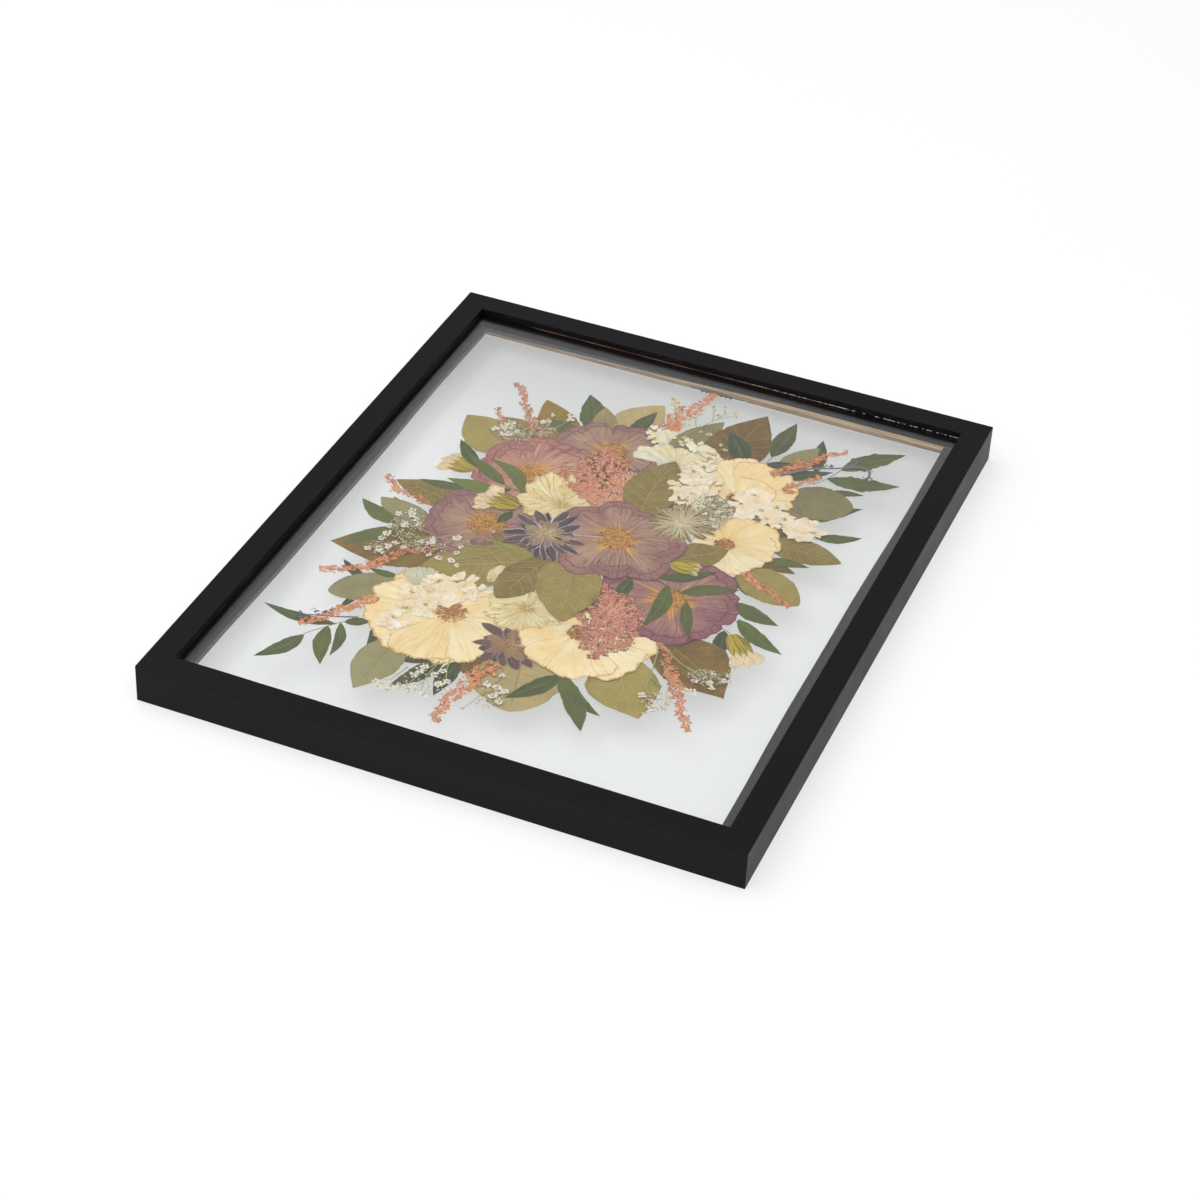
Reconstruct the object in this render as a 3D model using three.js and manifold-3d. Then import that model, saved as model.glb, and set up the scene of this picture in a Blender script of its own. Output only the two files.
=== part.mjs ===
// Pressed flowers held between two panes of glass in a mitred black wooden frame.
// Millimetres, +Z up; the frame lies on its back, its long side along Y, and its
// near rail is the one at -Y. The specimens lie in thin layers between the panes.
import * as THREE from "three";
import { mergeVertices } from "three/addons/utils/BufferGeometryUtils.js";
import Module from "manifold-3d";

const wasm = await Module();
wasm.setup();

// ---- driving dimensions -------------------------------------------------------
const FRAME_WIDTH = 432;        // outside, along X
const FRAME_LENGTH = 530.5;     // outside, along Y
const FRAME_HEIGHT = 29.4;
const FACE_WIDTH = 19.3;        // width of the flat face of a rail
const LIP_DEPTH = 5.5;          // face down to the glass
const REBATE_AT = 12.8;         // outer face to the wall of the rebate
const EASED_EDGE = 1.0;         // small rounding of the outer top edge
const GLASS = 2.0;              // thickness of a pane
const GLASS_PLAY = 0.2;         // room round a pane in its rebate
const SPECIMEN_GAP = 2.0;       // room between the panes
const STRIP_DEPTH = 4.2;        // thickness of a retaining strip
const STRIP_WIDTH = 15.8;       // mean width of a retaining strip
const STRIP_WAVE = 1.1;         // how far its hand-cut edge wanders
const HANGER_LENGTH = 46;
const HANGER_PLATE = 0.9;
const HANGER_SET_IN = 1.15;     // depth of its pocket in the back of the far rail

// ---- levels that follow from them ----------------------------------------------
const GLASS_TOP = FRAME_HEIGHT - LIP_DEPTH;
const GAP_TOP = GLASS_TOP - GLASS;
const GAP_FLOOR = GAP_TOP - SPECIMEN_GAP;
const BACK_GLASS_FLOOR = GAP_FLOOR - GLASS;
const LAYER_PITCH = 0.215;      // one layer of pressed material to the next
const LAYER = 0.18;             // thickness of a pressed piece
const layer = (k) => GAP_FLOOR + 0.05 + k * LAYER_PITCH;

// ---- colours --------------------------------------------------------------------
const BLACK_PAINT = { color: 0x232022, roughness: 0.42, metalness: 0 };
const CLEAR_GLASS = {
  color: 0xeef4f2, roughness: 0.03, metalness: 0, transparent: true, opacity: 0.16,
};
const BLACK_STRIP = { color: 0x2b2b2e, roughness: 0.6, metalness: 0 };
const DARK_STEEL = { color: 0x3a3c40, roughness: 0.4, metalness: 0.9 };
const dry = (color) => ({ color, roughness: 0.8, metalness: 0 });
const MAUVE = dry(0xa67c80);
const MAUVE_DEEP = dry(0x99686e);
const CREAM = dry(0xe8d3a2);
const CREAM_PALE = dry(0xeee2c6);
const STAR_PLUM = dry(0x6a5c5e);
const STAR_BROWN = dry(0x7c6a5c);
const STAR_STRAW = dry(0xb3a888);
const SALMON = dry(0xc98a6c);
const PINK = dry(0xbd8078);
const BUD = dry(0xa8984e);
const OLIVE = dry(0x978748);
const BROWN_LEAF = dry(0x866a3a);
const GREY_LEAF = dry(0x8d8a6c);
const TAN_LEAF = dry(0x9c8a62);
const RUSCUS = dry(0x566a44);

// ---- small makers -----------------------------------------------------------------
const rad = THREE.MathUtils.degToRad;
const at = (x, y) => new THREE.Vector2(x, y);
const polar = (c, deg, r) => at(c.x + r * Math.cos(rad(deg)), c.y + r * Math.sin(rad(deg)));

function toSolid(geometry) {
  const bare = geometry.clone();
  bare.deleteAttribute("normal");
  bare.deleteAttribute("uv");
  const g = mergeVertices(bare, 1e-4);
  return new wasm.Manifold(new wasm.Mesh({
    numProp: 3,
    vertProperties: new Float32Array(g.attributes.position.array),
    triVerts: new Uint32Array(g.index.array),
  }));
}

function toGeometry(solid) {
  const m = solid.getMesh();
  const g = new THREE.BufferGeometry();
  g.setAttribute("position", new THREE.BufferAttribute(m.vertProperties, 3));
  g.setIndex(new THREE.BufferAttribute(m.triVerts, 1));
  const flat = g.toNonIndexed();
  flat.computeVertexNormals();
  return flat;
}

// A flat piece: an outline raised from height z by thickness t.
function slab(outline, z, t) {
  const shape = new THREE.Shape(outline);
  const g = new THREE.ExtrudeGeometry(shape, { depth: t, bevelEnabled: false, steps: 1 });
  return toSolid(g.translate(0, 0, z));
}

const fuse = (solids) => solids.reduce((a, b) => a.add(b));

const group = new THREE.Group();
function place(name, solid, look) {
  const mesh = new THREE.Mesh(toGeometry(solid), new THREE.MeshStandardMaterial(look));
  mesh.name = name;
  group.add(mesh);
}

// ---- the frame ------------------------------------------------------------------------
// A rail is its section drawn out along the side, cut to the mitred plan of that side.
function railSection() {
  return [
    at(0, 0), at(REBATE_AT, 0), at(REBATE_AT, GLASS_TOP), at(FACE_WIDTH, GLASS_TOP),
    at(FACE_WIDTH, FRAME_HEIGHT - 0.4), at(FACE_WIDTH - 0.4, FRAME_HEIGHT),
    at(EASED_EDGE, FRAME_HEIGHT), at(0.3, FRAME_HEIGHT - 0.3), at(0, FRAME_HEIGHT - EASED_EDGE),
  ];
}

// Near rail for a side of this length; its outer face lies on y = 0, inside towards +Y.
function plainRail(length) {
  const g = new THREE.ExtrudeGeometry(new THREE.Shape(railSection()), {
    depth: length, bevelEnabled: false, steps: 1,
  });
  g.applyMatrix4(new THREE.Matrix4().set(
    0, 0, 1, -length / 2,
    1, 0, 0, 0,
    0, 1, 0, 0,
    0, 0, 0, 1));
  const half = length / 2;
  const reach = FACE_WIDTH + 2;
  const plan = [at(-half, 0), at(half, 0), at(half - reach, reach), at(reach - half, reach)];
  return toSolid(g).intersect(slab(plan, -1, FRAME_HEIGHT + 2));
}

const across = FRAME_WIDTH / 2;
const along = FRAME_LENGTH / 2;
const railNear = plainRail(FRAME_WIDTH).translate([0, -along, 0]);
const railFar = plainRail(FRAME_WIDTH).rotate([0, 0, 180]).translate([0, along, 0]);
const railRight = plainRail(FRAME_LENGTH).rotate([0, 0, 90]).translate([across, 0, 0]);
const railLeft = plainRail(FRAME_LENGTH).rotate([0, 0, -90]).translate([-across, 0, 0]);

const hangerEdge = along - REBATE_AT;
const pocket = slab([
  at(-HANGER_LENGTH / 2 - 1, hangerEdge - 1), at(HANGER_LENGTH / 2 + 1, hangerEdge - 1),
  at(HANGER_LENGTH / 2 + 1, hangerEdge + 7), at(-HANGER_LENGTH / 2 - 1, hangerEdge + 7),
], -1, 1 + HANGER_SET_IN);
place("rail_near", railNear, BLACK_PAINT);
place("rail_far", railFar.subtract(pocket), BLACK_PAINT);
place("rail_left", railLeft, BLACK_PAINT);
place("rail_right", railRight, BLACK_PAINT);

// Two plain panes, the specimens pressed between them.
function pane(z) {
  const x = across - REBATE_AT - GLASS_PLAY;
  const y = along - REBATE_AT - GLASS_PLAY;
  return slab([at(-x, -y), at(x, -y), at(x, y), at(-x, y)], z, GLASS);
}
place("glass_front", pane(GAP_TOP), CLEAR_GLASS);
place("glass_back", pane(BACK_GLASS_FLOOR), CLEAR_GLASS);

// Thin strips glued into the rebate behind the back pane; their inner edge is cut by hand.
function strip(length, z, phase) {
  const steps = 11;
  const outline = [at(length / 2, 0), at(-length / 2, 0)];
  for (let i = 0; i <= steps; i++) {
    const t = i / steps;
    const wave = Math.sin(7.1 * t + phase) * 0.7 + Math.sin(17.3 * t + 2 * phase) * 0.3;
    outline.push(at((t - 0.5) * length, STRIP_WIDTH + STRIP_WAVE * wave));
  }
  return slab(outline.reverse(), z, STRIP_DEPTH);
}
const stripFloor = BACK_GLASS_FLOOR - STRIP_DEPTH;
const rebateX = across - REBATE_AT;
const rebateY = along - REBATE_AT;
const sideStrip = 2 * (rebateY - STRIP_WIDTH - STRIP_WAVE);
place("retaining_strip_near",
  strip(2 * rebateX, stripFloor, 0.4).translate([0, -rebateY, 0]), BLACK_STRIP);
place("retaining_strip_far",
  strip(2 * rebateX, stripFloor, 2.2).rotate([0, 0, 180]).translate([0, rebateY, 0]), BLACK_STRIP);
place("retaining_strip_left",
  strip(sideStrip, stripFloor, 3.7).rotate([0, 0, -90]).translate([-rebateX, 0, 0]), BLACK_STRIP);
place("retaining_strip_right",
  strip(sideStrip, stripFloor, 5.1).rotate([0, 0, 90]).translate([rebateX, 0, 0]), BLACK_STRIP);

// Toothed plate that hooks over a nail; the teeth hang clear of the rebate's edge.
function hangerPlate() {
  const teeth = 11;
  const end = HANGER_LENGTH / 2;
  const outline = [at(end, hangerEdge + 6), at(-end, hangerEdge + 6), at(-end, hangerEdge - 1)];
  const pitch = (HANGER_LENGTH - 6) / teeth;
  for (let i = 0; i < teeth; i++) {
    const x = -end + 3 + i * pitch;
    outline.push(at(x, hangerEdge - 1.4), at(x + pitch / 2, hangerEdge - 2.9));
  }
  outline.push(at(end - 3, hangerEdge - 1.4), at(end, hangerEdge - 1));
  return slab(outline.reverse(), HANGER_SET_IN - HANGER_PLATE, HANGER_PLATE);
}
place("sawtooth_hanger", hangerPlate(), DARK_STEEL);

// ---- leaves ---------------------------------------------------------------------------
// Outline of a leaf from its base to its tip: "fullest" is where it is widest, "bend"
// bows it sideways, "plump" below 1 makes it rounder.
function leafOutline(base, tip, width, { bend = 0, fullest = 0.42, plump = 0.85, n = 7 } = {}) {
  const run = tip.clone().sub(base);
  const side = at(-run.y, run.x).normalize();
  const power = Math.log(0.5) / Math.log(fullest);
  const left = [];
  const right = [];
  for (let i = 1; i < n; i++) {
    const t = i / n;
    const half = 0.5 * width * Math.sin(Math.PI * t ** power) ** plump;
    const mid = base.clone().addScaledVector(run, t).addScaledVector(side, bend * Math.sin(Math.PI * t));
    left.push(mid.clone().addScaledVector(side, half));
    right.push(mid.clone().addScaledVector(side, -half));
  }
  return [base, ...right, tip, ...left.reverse()];
}

function leaf(name, k, base, tip, width, look, form) {
  place(name, slab(leafOutline(base, tip, width, form), layer(k), LAYER), look);
}

const OVAL = { plump: 0.7, fullest: 0.48 };
leaf("leaf_olive_upper_left", 0, at(-92, 84), at(-149, 115), 41, OLIVE, { bend: 2 });
leaf("leaf_brown_top", 0, at(46, 132), at(54.6, 214.4), 47, BROWN_LEAF, { fullest: 0.38 });
leaf("leaf_grey_upper_right", 0, at(103, 121), at(152.3, 127), 43, GREY_LEAF, OVAL);
leaf("leaf_olive_right_upper", 0, at(108, 61), at(166.5, 59), 28, OLIVE, { bend: 1.5 });
leaf("leaf_olive_right_lower", 0, at(101, 22), at(155.6, 0), 35, OLIVE, { plump: 0.75 });
leaf("leaf_olive_middle", 6, at(17, 42), at(14.5, 124.5), 40, OLIVE, { bend: 3, plump: 0.75 });
leaf("leaf_olive_lower_left", 2, at(-30, -36), at(-99, -72), 52, OLIVE, OVAL);
leaf("leaf_olive_lower_middle", 5, at(-22, -22), at(-35.5, -84.5), 32, OLIVE, { fullest: 0.55 });
leaf("leaf_olive_lower_right", 6, at(-6, -18), at(15, -89.5), 43, OLIVE, OVAL);
leaf("leaf_brown_left", 0, at(-98, -60), at(-169, -73.5), 43, BROWN_LEAF);
leaf("leaf_grey_left", 0, at(-101, -94), at(-143.5, -127), 31, GREY_LEAF, OVAL);
leaf("leaf_grey_lower", 0, at(-77, -147), at(-80.4, -215), 31.5, GREY_LEAF, { fullest: 0.46 });
leaf("leaf_tan_bottom", 0, at(8, -132), at(22, -193), 58, TAN_LEAF, { plump: 0.55, fullest: 0.55 });
leaf("leaf_olive_bottom_right", 0, at(66, -112), at(101.7, -163), 46, OLIVE, OVAL);
leaf("leaf_brown_lower_right", 1, at(93, -74), at(144.5, -118.5), 48, BROWN_LEAF, OVAL);

// A thin stem of even width through the points given.
function stemOutline(points, width) {
  const left = [];
  const right = [];
  points.forEach((p, i) => {
    const before = points[Math.max(i - 1, 0)];
    const after = points[Math.min(i + 1, points.length - 1)];
    const along = after.clone().sub(before).normalize();
    const side = at(-along.y, along.x);
    left.push(p.clone().addScaledVector(side, width / 2));
    right.push(p.clone().addScaledVector(side, -width / 2));
  });
  return [...right, ...left.reverse()];
}

// Narrow leaves on one thin stem, all one growth: each leaf is base, tip, width and bend.
function leafySprig(name, k, stem, leaves) {
  const z = layer(k);
  const blades = leaves.map(([x0, y0, x1, y1, width, bend], i) => slab(
    leafOutline(at(x0, y0), at(x1, y1), width, { n: 4, plump: 0.9, bend }),
    z + 0.06 * (i % 2), 0.14));
  place(name, fuse([slab(stemOutline(stem, 1.6), z + 0.03, 0.14), ...blades]), RUSCUS);
}

leafySprig("ruscus_upper_left", 5,
  [at(-68, 40), at(-80, 39.5), at(-87, 43), at(-114, 58)], [
    [-112, 57, -141, 81.5, 13, -1], [-86, 42.4, -124, 68.5, 10, 2],
    [-69, 40, -108, 68.5, 13, 8], [-80, 39.8, -84.5, 34.5, 3, 0]]);
leafySprig("ruscus_upper_right", 1, [at(129, 172), at(123, 156), at(116, 144)], [
  [128.4, 170, 165.5, 210.5, 18, 2], [122.6, 155, 174.3, 169, 17, -3]]);
leafySprig("ruscus_on_rose", 6,
  [at(50, -15), at(67, -20.5), at(77, -24), at(86, -34)], [
    [76.5, -23.7, 113, -3, 12, 2], [65.5, -19.8, 67, -70, 12.5, 4],
    [84, -31.2, 101, -69.5, 9, -1]]);
leafySprig("ruscus_bottom", 1, [at(36, -138), at(40, -147), at(46, -152)], [
  [38, -142.6, 13.5, -181, 15, 2], [37, -140, 78, -171.5, 14, -6], [43, -149.5, 72.5, -191.5, 15, 2]]);
leafySprig("ruscus_lower_left", 0,
  [at(-103, -143), at(-119, -154), at(-128, -165), at(-136, -176), at(-137, -186)], [
    [-122, -158, -177.5, -157.5, 10, 4], [-136.3, -178, -156, -213, 13, 3],
    [-126, -162.6, -112, -202, 12, -2], [-120, -155.3, -110.5, -191, 8, 3],
    [-118, -153.4, -101, -144, 9, 0]]);

// ---- roses --------------------------------------------------------------------------------
// A petal fans out from the middle of the flower: direction, reach and half its spread.
function petalOutline(centre, [dir, reach, spread], ragged = 0) {
  const outline = [polar(centre, dir, -2)];
  const steps = 5;
  for (let i = 0; i <= steps; i++) {
    const t = (i / steps) * 2 - 1;
    const rim = reach * (1 - 0.24 * Math.abs(t) ** 2.6) - ragged * (i % 2);
    outline.push(polar(centre, dir + t * spread, rim));
  }
  return outline;
}

function ruffledDisc(centre, radius, points, depth, z, t) {
  const outline = [];
  for (let i = 0; i < points; i++) {
    outline.push(polar(centre, (i * 360) / points, radius - depth * (i % 2)));
  }
  return slab(outline, z, t);
}

// Petals overlap one another like tiles; the stamens stand on top of them.
function rose(name, k, centre, petals, heart, look, ragged) {
  const z = layer(k);
  const parts = petals.map((petal, i) => slab(
    petalOutline(centre, petal, ragged), z + 0.03 * (i % 3), 0.09));
  parts.push(ruffledDisc(centre, heart, 10, heart * 0.28, z + 0.05, LAYER - 0.05));
  place(name, fuse(parts), look);
}

rose("mauve_rose_middle", 7, at(12.5, 16), [
  [106, 44, 32], [325, 50, 28], [160, 47, 36], [235, 52, 36], [292, 46, 34], [34, 49, 42]],
13, MAUVE);
rose("mauve_rose_left", 3, at(-77.5, -7), [
  [124, 42, 34], [50, 26, 40], [0, 24, 40], [290, 27, 30], [243, 47, 27], [180, 52, 40]],
14, MAUVE);
rose("mauve_rose_upper_left", 2, at(-76, 62), [
  [0, 22, 50], [280, 34, 26], [245, 38, 28], [198, 41, 26], [150, 39, 32], [104, 50, 27]],
12, MAUVE_DEEP);
rose("mauve_rose_top", 0, at(-32, 117), [
  [350, 30, 24], [300, 24, 36], [218, 50, 30], [156, 46, 34], [82, 42, 33]],
11, MAUVE);
rose("mauve_rose_right", 4, at(74, -33), [
  [133, 26, 34], [182, 50, 25], [220, 56, 12], [288, 50, 38], [332, 47, 28], [3, 48, 30],
  [58, 49, 34]],
11, MAUVE_DEEP);
rose("cream_rose_lower_left", 1, at(-56, -114), [
  [90, 36, 34], [38, 36, 36], [146, 61, 22], [220, 57, 26], [304, 55, 26], [345, 41, 30],
  [268, 54, 28], [178, 58, 32]],
10, CREAM, 1);
rose("cream_rose_bottom", 3, at(31, -96), [
  [60, 22, 60], [215, 42, 34], [8, 53, 22], [262, 45, 36], [312, 51, 34], [345, 54, 26]],
9, CREAM, 0.8);
rose("cream_rose_right", 3, at(83, 43), [
  [180, 21, 46], [252, 31, 30], [108, 34, 32], [285, 39, 30], [332, 34, 28], [72, 38, 34],
  [18, 38, 38]],
9, CREAM, 0.8);
rose("cream_rose_upper_right", 2, at(73, 108), [
  [270, 20, 70], [180, 26, 40], [140, 40, 26], [15, 34, 36], [55, 38, 34], [100, 45, 36]],
9, CREAM, 0.8);
rose("cream_petals_top", 1, at(18, 116), [
  [198, 24, 26], [20, 20, 40], [72, 27, 30], [118, 29, 34], [163, 37, 28]],
7, CREAM_PALE, 0.8);

// ---- carnations: broad fans with a pinked edge -----------------------------------------------
function carnation(name, k, centre, petals) {
  const z = layer(k);
  const parts = petals.map((petal, i) => slab(
    petalOutline(centre, petal, 2.4), z + 0.04 * (i % 3), 0.09));
  place(name, fuse(parts), CREAM_PALE);
}
carnation("carnation_upper", 4, at(-38, 36), [
  [250, 17, 40], [215, 28, 24], [183, 34, 22], [152, 34, 22], [120, 44, 24], [75, 28, 28],
  [38, 27, 26], [330, 9, 60]]);
carnation("carnation_lower", 4, at(-12, -89), [
  [133, 50, 10], [90, 24, 34], [135, 28, 30], [185, 27, 30], [230, 29, 30], [278, 24, 36],
  [330, 26, 34], [20, 24, 34]]);

// ---- stars: narrow pointed petals round a small head --------------------------------------------
function star(name, k, centre, head, petals, width, look) {
  const z = layer(k);
  const parts = petals.map(([dir, reach], i) => slab(
    leafOutline(polar(centre, dir, head * 0.5), polar(centre, dir, reach), width,
      { n: 2, fullest: 0.6 }),
    z, 0.12));
  parts.push(ruffledDisc(centre, head, 10, head * 0.2, z + 0.02, LAYER - 0.02));
  place(name, fuse(parts), look);
}
star("star_flower_plum", 8, at(-35, -1), 8.5, [
  [84, 33], [68, 32.5], [110, 26], [128, 29], [155, 31], [176, 21], [202, 31], [222, 33],
  [244, 24], [263, 24], [279, 30], [292, 32], [303, 34], [322, 27], [337, 33], [0, 30],
  [22, 20], [47, 27]], 8, STAR_PLUM);
star("star_flower_brown", 2, at(-6, -128), 9, [
  [153, 31], [120, 19], [95, 17], [60, 17], [198, 26], [215, 22], [243, 26], [262, 22],
  [281, 23], [303, 27], [325, 28], [345, 22], [178, 20]], 9, STAR_BROWN);
const feather = [];
for (let i = 0; i < 16; i++) {
  feather.push([i * 22.5, 20 + 5 * Math.sin(i * 2.4)]);
}
star("star_flower_straw", 8, at(47, 54), 8, feather, 3.2, STAR_STRAW);

// ---- plumes and spikes of tiny grains: tapering branches with a beaded edge ----------------------
function beadedBranch([x0, y0, x1, y1, width], beads, z, t) {
  const base = at(x0, y0);
  const run = at(x1, y1).sub(base);
  const side = at(-run.y, run.x).normalize();
  const left = [];
  const right = [];
  for (let i = 0; i < 2 * beads; i++) {
    const s = (i + 0.5) / (2 * beads);
    const half = 0.5 * width * (1 - 0.75 * s) * (i % 2 ? 0.62 : 1);
    left.push(base.clone().addScaledVector(run, s).addScaledVector(side, half));
    right.push(base.clone().addScaledVector(run, s).addScaledVector(side, -half));
  }
  return slab([base, ...right, at(x1, y1), ...left.reverse()], z, t);
}

function plume(name, k, branches, beads, look) {
  const z = layer(k);
  const parts = branches.map((b) => beadedBranch(b, beads, z, LAYER));
  place(name, fuse(parts), look);
}

plume("astilbe_plume_upper", 5, [
  [-12, 50, -46, 119, 20], [-10, 52, -22, 114, 24], [-8, 54, -8, 98, 20],
  [-10, 50, 8, 70, 20], [-14, 52, -48, 88, 18], [-12, 52, -40, 56, 16]], 4, SALMON);
plume("astilbe_plume_lower", 5, [
  [38, -44, 50, -119, 20], [38, -44, 40, -112, 18], [44, -50, 66, -100, 20],
  [40, -46, 62, -62, 18], [42, -54, 23, -80, 16], [44, -56, 27, -38, 15]], 4, PINK);
plume("astilbe_spike_upper_left", 1, [
  [-92, 112, -112, 142, 13], [-104, 130, -134, 172, 11], [-96, 116, -80, 113, 8]], 3, SALMON);
plume("astilbe_spike_top", 3, [
  [-4, 158, 2, 200, 16], [0, 190, 9, 224.5, 11], [-4, 160, -13, 183, 11],
  [-3, 172, -8, 197, 10]], 3, SALMON);
plume("astilbe_spike_upper_right", 3, [
  [85, 144, 106, 174, 13], [100, 162, 125.5, 196, 10], [97, 156, 95, 169, 6]], 3, SALMON);
plume("astilbe_spike_bottom", 4, [
  [-7, -150, -17, -190, 16], [-15, -182, -17.5, -225, 10]], 3, SALMON);
plume("astilbe_spike_lower_right", 5, [
  [83, -84, 104, -112, 11], [97, -102, 119, -136, 15], [112, -126, 135.5, -163, 11]], 3, SALMON);

// ---- carnation buds: a pointed calyx and the petal tip that shows ----------------------------------
function bud(name, k, [x0, y0, x1, y1, width], tipLength) {
  const z = layer(k);
  const base = at(x0, y0);
  const end = at(x1, y1);
  const run = end.clone().sub(base).normalize();
  const mouth = end.clone().addScaledVector(run, -tipLength);
  const calyx = leafOutline(base, mouth.clone().addScaledVector(run, tipLength * 0.4), width,
    { n: 6, plump: 0.45, fullest: 0.5 });
  const dir = THREE.MathUtils.radToDeg(Math.atan2(run.y, run.x));
  const tip = petalOutline(mouth.clone().addScaledVector(run, -3), [dir, tipLength + 4, 42], 1.4);
  place(name, fuse([slab(tip, z, 0.1), slab(calyx, z + 0.05, 0.15)]), BUD);
}
bud("bud_left_outer", 3, [-115, 51, -142, 52, 17], 11);
bud("bud_left_inner", 6, [-66, 19, -99, 26, 19], 15);
bud("bud_middle", 5, [58, 7, 80, 7, 13], 8);
bud("bud_right", 1, [121, -52, 145, -76, 15], 12);

// ---- clusters of small four-petalled florets ---------------------------------------------------------
function floret(x, y, r, turn, z) {
  const outline = [];
  const lobes = 4;
  for (let i = 0; i < lobes * 2; i++) {
    outline.push(polar(at(x, y), turn + (i * 180) / lobes, i % 2 ? r : r * 0.55));
  }
  return slab(outline, z, 0.1);
}

function cluster(name, k, florets) {
  const z = layer(k);
  const parts = florets.map(([x, y, r], i) => floret(x, y, r, i * 37, z + 0.06 * (i % 2)));
  place(name, fuse(parts), CREAM_PALE);
}
cluster("stock_florets_top", 7, [
  [38, 127, 12], [34, 110, 13], [50, 106, 12], [40, 92, 13], [25, 96, 8], [50, 86, 9],
  [36, 80, 7]]);
cluster("stock_florets_right", 5, [
  [80, 111, 12], [95, 108, 12], [77, 96, 11], [95, 94, 13], [110, 96, 12], [85, 83, 10],
  [130, 95, 12], [123, 82, 11], [138, 83, 12], [133, 73, 9]]);
cluster("stock_florets_left", 3, [
  [-80, -86, 13], [-62, -75, 11], [-58, -90, 15], [-91, -104, 13], [-72, -106, 14],
  [-80, -119, 13], [-90, -135, 14]]);

export default group;
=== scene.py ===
import bpy
import numpy as np
from mathutils import Matrix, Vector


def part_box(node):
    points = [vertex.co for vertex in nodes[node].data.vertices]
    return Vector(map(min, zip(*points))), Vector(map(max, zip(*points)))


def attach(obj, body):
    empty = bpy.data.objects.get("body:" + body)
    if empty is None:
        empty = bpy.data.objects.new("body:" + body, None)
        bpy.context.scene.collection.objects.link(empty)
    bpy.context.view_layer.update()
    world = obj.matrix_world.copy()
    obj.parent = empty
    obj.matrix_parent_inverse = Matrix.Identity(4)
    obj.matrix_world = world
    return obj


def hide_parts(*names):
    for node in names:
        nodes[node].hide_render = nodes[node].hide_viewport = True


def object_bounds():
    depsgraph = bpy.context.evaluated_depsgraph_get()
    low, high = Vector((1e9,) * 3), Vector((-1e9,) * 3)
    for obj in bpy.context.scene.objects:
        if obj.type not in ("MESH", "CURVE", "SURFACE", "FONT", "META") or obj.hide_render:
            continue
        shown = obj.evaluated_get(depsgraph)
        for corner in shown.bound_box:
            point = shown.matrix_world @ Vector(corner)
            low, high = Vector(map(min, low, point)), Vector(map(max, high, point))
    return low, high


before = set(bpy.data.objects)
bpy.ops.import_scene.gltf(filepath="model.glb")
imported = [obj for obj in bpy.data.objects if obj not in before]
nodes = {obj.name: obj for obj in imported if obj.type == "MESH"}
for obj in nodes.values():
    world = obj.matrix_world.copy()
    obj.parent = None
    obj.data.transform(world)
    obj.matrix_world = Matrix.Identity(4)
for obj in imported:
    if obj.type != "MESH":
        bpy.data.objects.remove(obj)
cad_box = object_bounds()
MM = 0.001

# ---- Rails --------------------------------------------------------------------------
# Four lengths of plain square moulding in pale soft wood, mitred, glued and sprayed
# satin black. The rebate that takes the glass was left bare.
FACE_WIDTH = 19.3
REBATE_AT = 12.8
frame_high = cad_box[1]


def paint(red, green, blue):
    """A colour given 0 to 255, as the light it reflects: the display curve undone."""
    share = np.array([red, green, blue]) / 255
    linear = np.where(share > 0.04045, ((share + 0.055) / 1.055) ** 2.4, share / 12.92)
    return (*linear.tolist(), 1.0)


class Signal:
    """One output inside a material. Operators on it add the Math nodes for the sum."""

    def __init__(self, look, socket):
        self.look = look
        self.socket = socket

    def math(self, operation, *terms):
        """This number and the terms put through one Math node."""
        return self.look.node("Math", {"operation": operation}, dict(enumerate((self, *terms))))

    def __add__(self, other):
        return self.math("ADD", other)

    def __mul__(self, other):
        return self.math("MULTIPLY", other)

    def __sub__(self, other):
        return self.math("SUBTRACT", other)

    def __rsub__(self, other):
        return self.math("MULTIPLY_ADD", -1.0, other)

    def __pow__(self, other):
        return self.math("POWER", other)

    def __abs__(self):
        return self.math("ABSOLUTE")

    __radd__ = __add__
    __rmul__ = __mul__


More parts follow.
